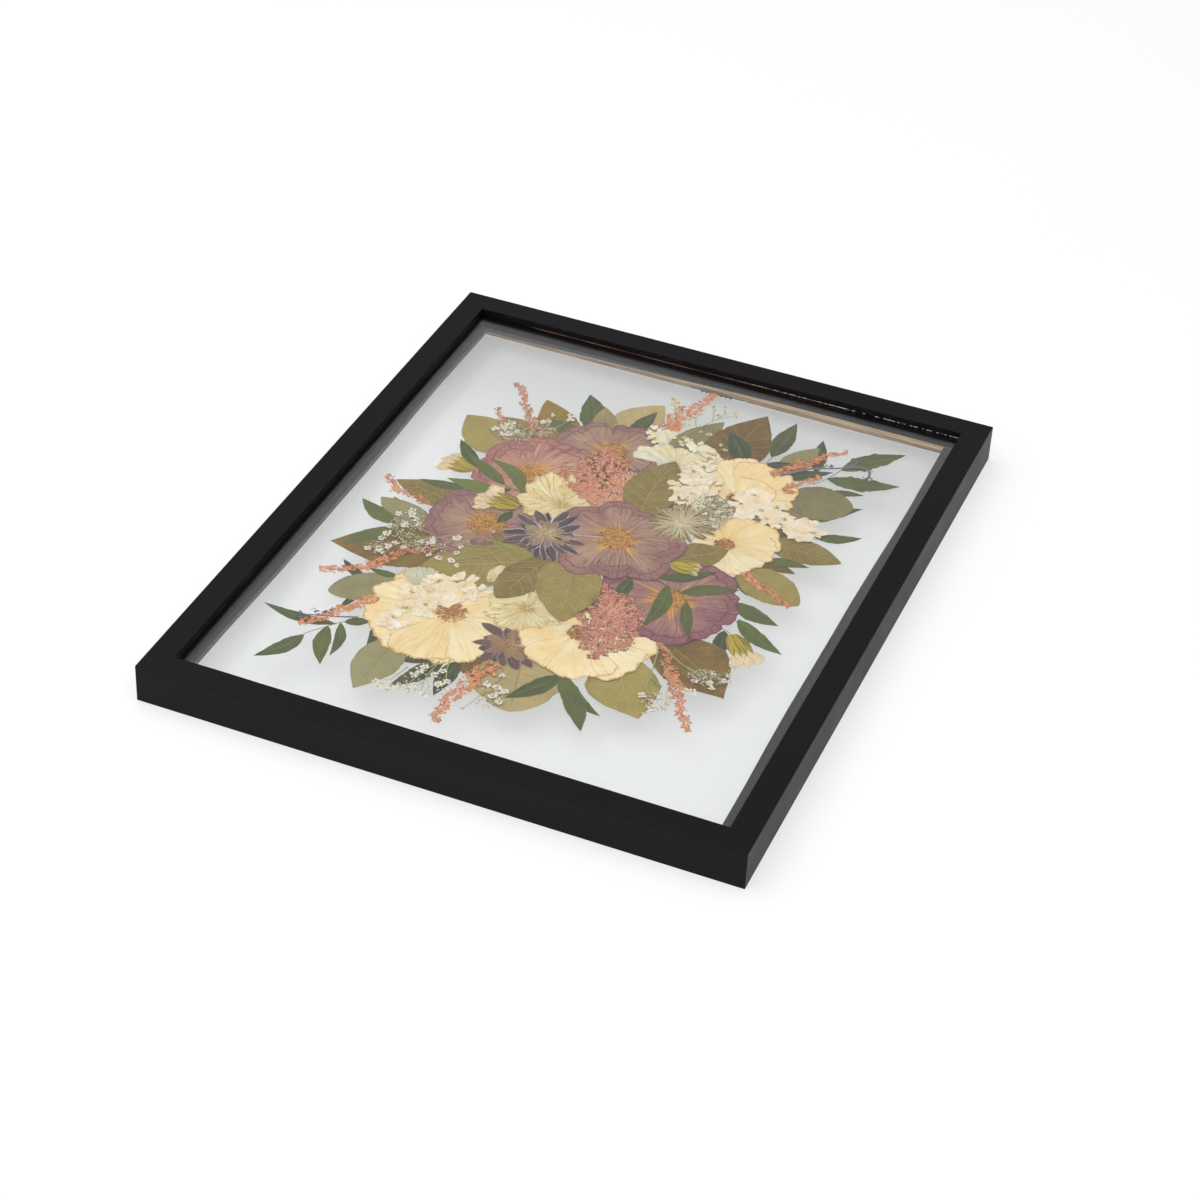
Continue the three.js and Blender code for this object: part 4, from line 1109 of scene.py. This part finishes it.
# Each spray: layer, size of a grain, branches as line and width, look.
sprays = {
    "astilbe_plume_upper": (5, 0.76, [
        ([(-22, 54), (-36, 68), (-46, 92)], 9),
        ([(-14, 52), (-26, 84), (-42, 118)], 13), ([(-10, 52), (-17, 82), (-30, 116)], 14),
        ([(-8, 54), (-8, 80), (-22, 110)], 14), ([(-4, 56), (1, 72), (-8, 98)], 14),
        ([(-8, 50), (4, 60), (9, 72)], 11), ([(-16, 52), (-34, 72), (-47, 98)], 11),
        ([(-18, 54), (-30, 74), (-44, 110)], 11), ([(-12, 50), (-28, 56), (-40, 68)], 11),
        ([(-26, 52), (-40, 60), (-52, 74), (-57, 84)], 6), ([(-12, 60), (-14, 86), (-36, 120)], 12),
        ([(-10, 50), (-22, 64), (-32, 80)], 12), ([(-6, 50), (-2, 64), (2, 86)], 11)], dusty),
    "astilbe_plume_lower": (5, 0.76, [
        ([(40, -42), (46, -84), (50, -119)], 12), ([(36, -42), (39, -80), (41, -112)], 12),
        ([(46, -46), (58, -72), (66, -101)], 12), ([(44, -44), (52, -74), (58, -106)], 12),
        ([(28, -36), (30, -52), (38, -70)], 9), ([(23, -74), (30, -86), (35, -99)], 8),
        ([(34, -48), (34, -66), (38, -84)], 11), ([(52, -52), (62, -66), (64, -84)], 11),
        ([(42, -56), (50, -84), (54, -112)], 12), ([(40, -50), (48, -66), (56, -88)], 12),
        ([(24, -66), (32, -72), (38, -80)], 7)], pink),
    "astilbe_spike_upper_left": (1, 0.72, [
        ([(-84, 113), (-96, 121), (-104, 132), (-112, 142), (-117, 148), (-122, 157),
          (-128, 166), (-134, 172)], 9),
        ([(-96, 120), (-100, 124), (-104, 132)], 9), ([(-80, 114), (-90, 113), (-97, 117)], 7),
        ([(-104, 92), (-112, 100), (-119, 110), (-124, 121), (-133, 134.5)], 7)], dusty),
    "astilbe_spike_top": (3, 0.74, [
        ([(-4, 158), (-3, 174), (0, 192), (4, 208), (9, 224.5)], 11),
        ([(-6, 160), (-10, 170), (-13, 183)], 9), ([(-3, 162), (-6, 178), (-8, 198)], 10),
        ([(-8, 158), (-14, 160), (-18, 163)], 6)], salmon),
    "astilbe_spike_upper_right": (3, 0.7, [
        ([(83, 142), (96, 157), (106, 170), (113, 182), (125.5, 196)], 9),
        ([(84, 144), (92, 150), (100, 162)], 7),
        ([(101, 126), (102, 134), (109, 142), (115, 151), (116, 156)], 8),
        ([(98, 156), (96, 163), (95, 169)], 5), ([(99, 128), (104, 126), (108, 127)], 6)], salmon),
    "astilbe_spike_bottom": (4, 0.74, [
        ([(-7, -150), (-14, -168), (-16, -186), (-19, -204), (-17.5, -225)], 12),
        ([(-9, -158), (-4, -162), (-1, -164)], 6), ([(-13, -164), (-8, -176), (-12, -186)], 8)],
        salmon),
    "astilbe_spike_lower_right": (5, 0.7, [
        ([(83, -84), (94, -92), (98, -104), (106, -112), (110, -122)], 7),
        ([(99, -104), (109, -118), (118, -134), (128, -150), (135.5, -163)], 10),
        ([(104, -108), (112, -120), (118, -128)], 9)], salmon),
}
for seed, (node, (k, grain, branches, look)) in enumerate(sprays.items()):
    bloom = Press()
    spray(bloom, branches, level(k), seed + 3, grain, 1.25)
    slot = "astilbe_pink" if look == pink else "astilbe_salmon"
    bloom.piece("pressed_" + node, look, slot, node)

# Three thinner spikes at the left and one at the right lie over the leaves there. Each row:
# layer, line, width, how crowded.
loose_spikes = [
    (3.2, [(-126, -5), (-139, 1), (-151, 2.5), (-160, 9), (-168.75, 17)], 8, 1.25),
    (1.5, [(-100, -50), (-120, -67), (-126, -81), (-136, -93), (-161, -108)], 11, 1.4),
    (1.5, [(-112, -118), (-121, -135), (-131, -150), (-145.6, -169)], 12, 1.5),
    (0.6, [(106, 21), (116, 14), (129, 6), (150.6, -5)], 9, 2.0),
]
thin = Press()
for seed, (k, line, width, crowd) in enumerate(loose_spikes):
    spray(thin, [(line, width)], level(k), seed + 50, 0.7, crowd)
thin.piece("loose_astilbe_spikes", salmon, "astilbe_salmon")

# ---- Carnation buds -----------------------------------------------------------------
# Buds pressed in profile: a ribbed green calyx with four pointed teeth that show, and the
# crumpled peach petals that were just opening.


BUD_PETALS = 12
BUD_PETAL_STEP = 0.008
CUP_LIFT = 0.085
TOOTH_LIFT = 0.1


def calyx_look():
    """Yellow green, ribbed along its length, dark at the sides and pale at the tips."""
    look = Look("pressed_calyx")
    point = look.place()[0]
    across, along = look.grid()
    off = abs(across - 0.5) * 2.0
    rib = look.noise(look.vector(across * 6.0, along * 1.2, look.tone() * 9.0), 1.0, 3.0)
    mottle = look.noise(point, 240.0, 4.0)
    base = look.mix(look.ease(rib, 0.42, 0.56), dry(200, 180, 80), dry(140, 122, 44))
    # Painted shade: each tooth darkens toward its sides, drawing the shaded lines between the teeth.
    base = look.mix(look.ease(off, 0.7, 0.95) * 0.6, base, dry(98, 88, 36))
    tips = look.ease(along + (mottle - 0.5) * 0.4, 0.8, 1.0)
    base = look.mix(tips * 0.4, base, dry(212, 196, 134))
    return look.skin(base, mottle * 0.2 + 0.5, rib, 0.25 * MM, Specular_IOR_Level=0.35)


green_calyx = calyx_look()
peach = petal_look("peach_bud_petal", dry(255, 242, 208), dry(250, 220, 168), dry(236, 200, 140),
                   dry(212, 156, 100), dry(228, 188, 146), claw_end=0.3, wrinkle=1.0, veins=12.0,
                   rim_share=0.45, double=0.0)
# Each bud: layer, foot, far end, width, length of its petals, degrees from one to the next.
buds = {
    "bud_left_outer": (3, (-114.5, 51), (-142.5, 53), 15, 14, 18),
    "bud_left_inner": (6, (-65.5, 20.5), (-100.5, 24), 15, 17, 20),
    "bud_middle": (5, (58, 5), (80, 8), 13, 7, 5),
    "bud_right": (1, (125, -51), (149.5, -79), 13, 17, 10),
}
for seed, (node, (k, base, end, width, tip_length, flare)) in enumerate(buds.items()):
    rng = np.random.default_rng(seed + 15)
    run = np.subtract(end, base)
    length = np.hypot(*run)
    ahead = run / length
    across = np.array([-ahead[1], ahead[0]])
    way = np.degrees(np.arctan2(run[1], run[0]))
    mouth = np.asarray(base) + ahead * (length - tip_length)
    petals = Press()
    for i in range(BUD_PETALS):
        lean = (i * 2 % 5) - 2
        throat = mouth - ahead * 4 + across * lean * width * 0.11
        turned = way + lean * flare + rng.normal(0, 6)
        petal = (turned, (tip_length + 4) * rng.uniform(0.7, 1.0), 22)
        fan(petals, throat, petal, level(k) + BUD_PETAL_STEP * i, rng.uniform(0, 1), seed * 10 + i,
            teeth=6, bite=0.14, stray=0.1, rows=8, cols=25, thick=0.004)
    petals.piece(node + "_petals", peach, "pale_petals", node)
    cup = Press()
    blade(cup, level(k) + CUP_LIFT, base, mouth + ahead * 2.5, width * 0.9, tone=0.5, plump=0.5,
          sharp=0.45, rows=16, cols=9, thick=PETAL_THICK, seed=seed)
    for i in (0, 3, 1, 2):       # the two outer teeth first, the middle ones over them
        aside = i - 1.5
        tip = mouth + across * aside * width * 0.34 + ahead * (6.5 - abs(aside))
        foot = np.asarray(base) + across * aside * width * 0.1
        z = level(k) + TOOTH_LIFT + 0.012 * (2 - abs(aside)) + 0.004 * i
        blade(cup, z, foot, tip, width * 0.42, rng.uniform(0, 1), aside * width * 0.07,
              fullest=0.45, plump=0.5, sharp=1.0, ragged=0.04, rows=16, cols=9,
              thick=PETAL_THICK, seed=seed * 7 + i)
    cup.piece(node + "_calyx", green_calyx, "bud_green", node)

# ---- Stock --------------------------------------------------------------------------
# White florets of stock, crowded in clusters so that their crumpled petals overlap; here
# and there a green eye shows.
# The white rim is partly a painted highlight on the crumpled edges, and the peach flush partly painted
# shade within them.
white = petal_look("stock_petal", dry(255, 252, 234), dry(255, 228, 186), dry(242, 212, 140),
                   dry(255, 255, 250), dry(250, 206, 150), claw_end=0.25, wrinkle=0.55, veins=8.0,
                   rim_share=0.7, blush=0.7, double=0.0, pleats=0.3)
eye_look = grain_look("stock_eye", dry(214, 200, 124), dry(156, 136, 70))
FLORET_STEP = 0.0125
FLORET_STEPS = 13
FLORET_PETALS = 6
# Each cluster: layer, and its florets as place and radius.
clusters = {
    "stock_florets_top": (7, [
        (36, 127, 11), (33, 111, 13), (50, 106, 12), (40, 92, 13), (26, 97, 8), (46, 84, 10),
        (36, 80, 8), (45, 117, 10), (48, 97, 9), (31, 119, 8), (40, 102, 10), (32, 88, 8)]),
    "stock_florets_right": (5, [
        (82, 110, 12), (94, 107, 12), (77, 96, 11), (93, 95, 13), (104, 95, 11), (85, 84, 11),
        (112, 92, 9), (130, 93, 11), (123, 83, 10), (136, 85, 10), (130, 75, 9), (87, 101, 10),
        (102, 103, 10), (128, 85, 10), (73, 104, 8), (100, 87, 9), (109, 85, 9), (117, 88, 8)]),
    "stock_florets_left": (3, [
        (-80, -84, 13), (-64, -76, 11), (-58, -88, 14), (-91, -104, 12), (-72, -106, 14),
        (-78, -118, 12), (-90, -135, 13), (-70, -94, 11), (-84, -96, 10), (-88, -122, 10),
        (-92, -142, 9), (-50, -84, 11), (-76, -112, 10), (-66, -100, 11)]),
}
loose_florets = {"stock_florets_upper": (5.3, [
    (12, 152, 8), (22, 150, 10), (30, 146, 9), (36, 140, 7), (-13, 155, 8), (-4, 151, 8),
    (-11, 146, 8), (-2, 157, 6)])}
for seed, (name, (k, florets)) in enumerate({**clusters, **loose_florets}.items()):
    rng = np.random.default_rng(seed + 33)
    bloom = Press()
    eyes = Press()
    for n, (x, y, radius) in enumerate(florets):
        z = level(k) + FLORET_STEP * (n % FLORET_STEPS)
        turn = rng.uniform(0, 90)
        for i in range(FLORET_PETALS):
            way = turn + 360 // FLORET_PETALS * i + rng.normal(0, 14)
            heart = (x + rng.normal(0, 0.12 * radius), y + rng.normal(0, 0.12 * radius))
            petal = (way, radius * rng.uniform(0.6, 1.05), rng.uniform(28, 52))
            fan(bloom, heart, petal, z + 0.002 * i, rng.uniform(0, 1),
                900 + n * FLORET_PETALS + i + 77 * seed,
                teeth=5, bite=0.12, stray=0.18, rows=6, cols=16, thick=0.0015)
        if n % 3 == 0:
            stamens(eyes, (x, y), 10, 0.8, 2.2, z + 0.02, n + seed, anther=0.55)
    stands_for = [name] if name in clusters else []
    bloom.piece(name + "_petals", white, "pale_petals", *stands_for)
    eyes.piece(name + "_eyes", eye_look, "pale_petals")

# ---- Gypsophila ---------------------------------------------------------------------
# Sprigs of gypsophila: puffs of tiny white petals, a few millimetres across, on wiry
# branching stems.
puff_look = grain_look("gypsophila_petals", dry(255, 250, 236), dry(168, 140, 110), 900.0, 0.3)
husk_look = grain_look("gypsophila_husks", dry(236, 222, 182), dry(120, 96, 62), 900.0)
chaff_look = grain_look("gypsophila_chaff", dry(238, 230, 208), dry(132, 118, 76), 500.0)
wire_look = grain_look("gypsophila_stems", dry(178, 182, 128), dry(134, 130, 82))


PUFF_GRAINS = 24
GYPSOPHILA_FLAT = 0.02
WIRE_LIFT = 0.03


def puffs(press, spots, z, radius, seed):
    """Each puff is a ring of flattened grains that point outward like tiny petals, pale at
    the rim of the flower and dull at its heart."""
    rng = np.random.default_rng(seed)
    spots = np.asarray(spots, float)
    way = rng.uniform(0, 2 * np.pi, (len(spots), PUFF_GRAINS))
    size = rng.uniform(0.7, 1.2, (len(spots), 1)) * radius
    share = rng.uniform(0.1, 0.85, (len(spots), PUFF_GRAINS))
    x = spots[:, :1] + size * share * np.cos(way)
    y = spots[:, 1:2] + size * share * np.sin(way)
    height = z + rng.uniform(0, 0.03, x.shape) + 0.05 * share
    long = size * rng.uniform(0.28, 0.4, x.shape)
    wide = long * rng.uniform(0.6, 0.95, x.shape)
    sizes = np.stack([long, wide, np.full(x.shape, GYPSOPHILA_FLAT)], -1)
    tones = np.clip(rng.normal(0.1, 0.26, x.shape) + 0.6 * (share < 0.35), 0, 1)
    press.grains(np.stack([x, y, height], -1).reshape(-1, 3), sizes.reshape(-1, 3), way.ravel(),
                 tones.ravel())


def tangle(press, patches, z, seed):
    """Crushed heads and twigs over an oval patch: thin grains, most of them white, and
    short bent twigs between them. A patch is its middle, its two half sizes and a count."""
    rng = np.random.default_rng(seed)
    for x, y, half_x, half_y, count in patches:
        far = np.sqrt(rng.uniform(0, 1, count))
        turn = rng.uniform(0, 2 * np.pi, count)
        spot = np.stack([x + half_x * far * np.cos(turn), y + half_y * far * np.sin(turn)], -1)
        sizes = np.column_stack([rng.uniform(0.5, 1.3, count), rng.uniform(0.25, 0.5, count),
                                 np.full(count, GYPSOPHILA_FLAT)])
        lift = z + rng.uniform(0, 0.08, count)
        lean = np.radians(115) + rng.normal(0, 0.6, count)
        press.grains(np.column_stack([spot, lift]), sizes, lean,
                     np.clip(rng.normal(0.3, 0.35, count), 0, 1))
        twigs = count // 5
        along = np.linspace(-1, 1, 4)[None, :]
        tilt = np.radians(110) + rng.normal(0, 0.7, (twigs, 1))
        reach = rng.uniform(2, 5, (twigs, 1))
        bow = rng.normal(0, 0.8, (twigs, 1)) * (1 - along ** 2)
        paths = np.stack([spot[:twigs, :1] + reach * along * np.cos(tilt) - bow * np.sin(tilt),
                          spot[:twigs, 1:] + reach * along * np.sin(tilt) + bow * np.cos(tilt),
                          np.full((twigs, 4), z)], -1)
        press.rods(paths, 0.16, rng.uniform(0.7, 1.0, twigs), flat=0.15)


# Each spray: layer, radius of a puff, places of the puffs, lines of the stems.
sprays_of_white = {
    "gypsophila_upper_left": (4.4, 3.2, [
        (-115, 119), (-112, 113), (-110, 104), (-117, 110), (-123, 106), (-78, 148), (-77, 142),
        (-91, 142), (-94, 130), (-91, 133), (-106, 110), (-114, 104), (-119, 114)],
        [[(-98, 104), (-108, 108), (-116, 118)], [(-98, 104), (-112, 106), (-123, 106)],
         [(-88, 122), (-90, 132), (-91, 142)], [(-84, 124), (-79, 136), (-78, 147)]]),
    "gypsophila_top": (4.2, 2.3, [
        (13, 207), (16, 203), (22, 210), (24, 204), (32, 206), (34, 201), (21, 197), (8, 199),
        (8, 192), (6, 186), (3, 183), (14, 178), (17, 171), (24, 170), (6, 175), (37, 161),
        (42, 156), (36, 146), (9.5, 158), (14, 157), (-17, 203), (-13, 199), (-16, 196),
        (-11, 190)],
        [[(4, 149), (13, 172), (20, 188), (26, 203)], [(20, 188), (17, 198), (13, 207)],
         [(13, 172), (8, 184), (8, 198)], [(22, 192), (30, 200), (34, 205)],
         [(30, 146), (38, 154), (42, 160)], [(-6, 180), (-12, 192), (-17, 204)]]),
    "gypsophila_upper_right": (7.75, 2.1, [
        (42, 92), (50, 94), (56, 90), (62, 93), (68, 88), (73, 84), (60, 84), (54, 80), (66, 78),
        (72, 74), (50, 74), (58, 72), (66, 68), (74, 66), (44, 82), (62, 62), (70, 60), (76, 76)],
        [[(46, 62), (54, 76), (62, 92)], [(54, 76), (66, 84), (73, 84)],
         [(50, 68), (62, 72), (74, 70)], [(48, 66), (46, 78), (48, 92)]]),
    "gypsophila_left": (4.8, 3.1, [
        (-132.5, -16), (-130, -21), (-126, -25), (-121, -29), (-129, -34), (-139, -41),
        (-137.5, -56), (-129, -63), (-119, -59), (-111, -47.5), (-105, -41), (-104, -46),
        (-90, -33), (-83, -41), (-82.5, -49), (-99, -60), (-91, -60), (-76, -62.5), (-82, -59),
        (-141, -71), (-131, -71), (-140, -24), (-136, -49), (-134, -68), (-126, -57)],
        [[(-74, -24), (-50.6, -26), (-40, -23)], [(-99, -37.5), (-77, -36), (-50.6, -26)],
         [(-71, -49), (-67, -46), (-50.6, -26)], [(-130, -20), (-116, -34), (-99, -37.5)],
         [(-139, -41), (-118, -44), (-99, -37.5)], [(-140, -68), (-124, -56), (-104, -44)],
         [(-82, -58), (-76, -54), (-67, -46)], [(-90, -33), (-82, -28), (-74, -24)]]),
    "gypsophila_bottom": (4.6, 3.1, [
        (-47.5, -175), (-35, -174), (-27.5, -183), (-31, -188), (-38, -180), (-50.6, -186),
        (-45.6, -195.6), (-54, -200), (-35.6, -202.5), (-45.6, -204), (-64, -199), (-66, -204),
        (-66, -208), (-60.6, -208), (-59, -204), (-70, -203), (-25, -191), (3, -161),
        (-2.5, -174), (5, -174), (11, -176), (6, -184), (12.5, -187), (1, -190), (5, -195.6),
        (-6, -204), (-49, -180), (8, -180)],
        [[(-41, -165), (-42, -185), (-39, -199)], [(-57.5, -180), (-60, -190), (-62, -197.5)],
         [(-41, -165), (-46, -180), (-50, -198)], [(-36, -160), (-32, -174), (-27, -186)],
         [(0, -152), (3, -170), (8, -186)], [(2, -164), (-1, -184), (-6, -203)]]),
    "gypsophila_right": (5.8, 2.9, [
        (139, -85), (140, -95), (129, -97.5), (139, -102.5), (131, -109), (134, -113),
        (121, -111), (124, -122), (126, -125), (109, -131), (112, -137.5), (104, -142.5),
        (106, -150), (109, -145), (104, -157), (95, -140), (120, -123), (143, -101)],
        [[(86, -82.5), (107.5, -98), (128, -102)], [(85.6, -85), (92.5, -119), (94, -131), (101, -139)],
         [(92.5, -119), (98, -123), (104, -126)], [(107.5, -98), (124, -106), (134, -113)],
         [(128, -102), (136, -96), (139, -86)], [(92, -100), (110, -118), (124, -122)]]),
}
for seed, (name, (k, radius, spots, lines)) in enumerate(sprays_of_white.items()):
    heads = Press()
    puffs(heads, spots, level(k) + 0.05, radius, seed + 21)
    heads.piece(name + "_puffs", husk_look if name.endswith("top") else puff_look, "pale_petals")
    wires = Press()
    for line in lines:
        stem(wires, line, level(k) + WIRE_LIFT, radius=0.55, tone=0.2, flat=0.08)
    wires.piece(name + "_stems", wire_look, "bud_green")

# Each mass: layer, and its patches as middle, half sizes and how many grains.
crushed = {
    "crushed_gypsophila_upper_left": (4.3, [(-108, 108, 14, 12, 260), (-90, 120, 11, 9, 130)]),
    "crushed_gypsophila_upper_right": (7.65, [(60, 77, 17, 18, 560), (66, 60, 9, 7, 90)]),
    "crushed_gypsophila_left": (4.6, [(-128, -34, 12, 18, 170), (-108, -50, 18, 9, 190),
                                      (-134, -64, 8, 10, 80)]),
    "crushed_gypsophila_bottom": (4.5, [(-42, -190, 14, 14, 70), (4, -184, 8, 14, 60)]),
    "crushed_gypsophila_right": (5.7, [(126, -104, 12, 9, 150), (106, -142, 9, 11, 110)]),
}
for seed, (name, (k, patches)) in enumerate(crushed.items()):
    mass = Press()
    tangle(mass, patches, level(k), seed + 61)
    mass.piece(name, chaff_look, "pale_petals")

# ---- Limonium -----------------------------------------------------------------------
# Two winged sprigs of limonium, faded grey lilac, with small ruffled flowers.
lilac = grain_look("limonium", dry(154, 144, 154), dry(84, 70, 84), 400.0)
WING_LIFT = 0.04
RUFFLES = 9
RUFFLE_HIGH = 0.03
# Each row: layer, line, width.
winged_stems = [
    (4.3, [(90, 142.5), (102.5, 156), (110, 162.5), (122.5, 168.75), (131, 174), (140, 179),
           (147.5, 178)], 1.5),
    (4.3, [(131, 174), (134, 179), (137, 185)], 1.1),
    (4.3, [(147, 178), (150, 172), (150, 165)], 1.1),
    (4.3, [(115, 164), (117, 170), (121, 169)], 0.9),
    (1.8, [(-112, -145), (-126, -151), (-138, -155), (-150, -160)], 1.2),
]
lilac_flowers = [(137, 185), (136, 181), (150, 166), (151, 171), (148, 178), (120, 171),
                 (-149, -158), (-141, -152), (-134, -149), (-146, -163)]
limonium = Press()
for k, line, width in winged_stems:
    stem(limonium, line, level(k) + WING_LIFT, width, tone=0.35, flat=0.05)
rng = np.random.default_rng(77)
for x, y in lilac_flowers:
    spots = np.column_stack([rng.normal(x, 1.4, RUFFLES), rng.normal(y, 1.4, RUFFLES),
                             np.full(RUFFLES, level(4.4))])
    sizes = np.column_stack([rng.uniform(0.5, 1.1, (RUFFLES, 2)), np.full(RUFFLES, RUFFLE_HIGH)])
    limonium.grains(spots, sizes, rng.uniform(0, 6, RUFFLES), rng.uniform(0.2, 1, RUFFLES))
limonium.piece("limonium_sprigs", lilac, "star_plum")

# ---- Floor, light and camera --------------------------------------------------------
# The frame lies on a white light table, whose glow keeps the shadows pale. Above it are
# a broad soft lamp, a smaller one at the left, and a pale room all round.


HALF_FLOOR = 6.0
TABLE_GLOW = 0.575
ROOM_LIGHT = 0.52


def floor_look():
    """Matt white with a faint glow. Inside the frame both fade where the table lies in the
    shade of the far and left rails."""
    look = Look("white_table_top")
    point, (x, y, _) = look.place()
    cloud = look.noise(point, 2.0, 2.0)
    inside = look.ease(abs(x), 0.206, 0.2) * look.ease(abs(y), 0.255, 0.249)
    far_shade = look.ease(y, 0.08, 0.235) * 0.22
    left_shade = look.ease(x, -0.172, -0.181) * 0.07
    shade = (far_shade + left_shade) * inside
    unlit = (0.0, 0.0, 0.0, 1.0)
    base = look.mix(cloud, (0.41, 0.413, 0.415, 1.0), (0.43, 0.433, 0.435, 1.0))
    return look.skin(look.mix(shade, base, unlit), 0.6, Specular_IOR_Level=0.2,
                     Emission_Color=look.mix(shade, (0.99, 1.0, 1.0, 1.0), unlit),
                     Emission_Strength=TABLE_GLOW)


floor_corners = [(HALF_FLOOR * x, HALF_FLOOR * y, 0) for x, y in ((-1, -1), (1, -1), (1, 1), (-1, 1))]
floor_mesh = bpy.data.meshes.new("table_top")
floor_mesh.from_pydata(floor_corners, [], [(0, 1, 2, 3)])
floor = bpy.data.objects.new("table_top", floor_mesh)
floor_mesh.materials.append(floor_look())
bpy.context.scene.collection.objects.link(floor)

world = bpy.data.worlds.new("pale_room")
bpy.context.scene.world = world
world.use_nodes = True
room = world.node_tree.nodes["Background"].inputs
room["Color"].default_value = (1.0, 1.0, 1.0, 1.0)
room["Strength"].default_value = ROOM_LIGHT


def lamp(name, place, size, power):
    """A square soft lamp that faces the middle of the frame."""
    light = bpy.data.lights.new(name, "AREA")
    light.shape = "SQUARE"
    light.size = size
    light.energy = power
    made = bpy.data.objects.new(name, light)
    x, y, z = place
    made.location = place
    made.rotation_euler = (np.arctan2(np.hypot(x, y), z), 0, np.arctan2(x, -y))
    bpy.context.scene.collection.objects.link(made)


lamp("broad_lamp", (-0.2, -0.8, 2.6), size=4.6, power=69.0)
lamp("key_lamp", (-1.5, 0.5, 2.2), size=1.6, power=8.0)

CAMERA_TURN, CAMERA_RISE, CAMERA_ROLL = np.radians([20.7078, 36.9898, 3.1972])
CAMERA_PLACE = (0.60893, -1.58832, 1.25644)
CAMERA_LENS = 89.165
SENSOR_WIDTH = 36.0
back = np.array([np.sin(CAMERA_TURN) * np.cos(CAMERA_RISE),
                 -np.cos(CAMERA_TURN) * np.cos(CAMERA_RISE), np.sin(CAMERA_RISE)])
level_right = np.cross(-back, [0, 0, 1])
level_right /= np.linalg.norm(level_right)
level_up = np.cross(level_right, -back)
right = np.cos(CAMERA_ROLL) * level_right + np.sin(CAMERA_ROLL) * level_up
up = np.cos(CAMERA_ROLL) * level_up - np.sin(CAMERA_ROLL) * level_right
camera_data = bpy.data.cameras.new("camera")
camera_data.lens = CAMERA_LENS
camera_data.sensor_width = SENSOR_WIDTH
camera = bpy.data.objects.new("camera", camera_data)
pose = np.eye(4)
pose[:3, :3] = np.stack([right, up, back], 1)
pose[:3, 3] = CAMERA_PLACE
camera.matrix_world = Matrix(pose)
bpy.context.scene.collection.objects.link(camera)
bpy.context.scene.camera = camera
bpy.context.scene.view_settings.view_transform = "Standard"
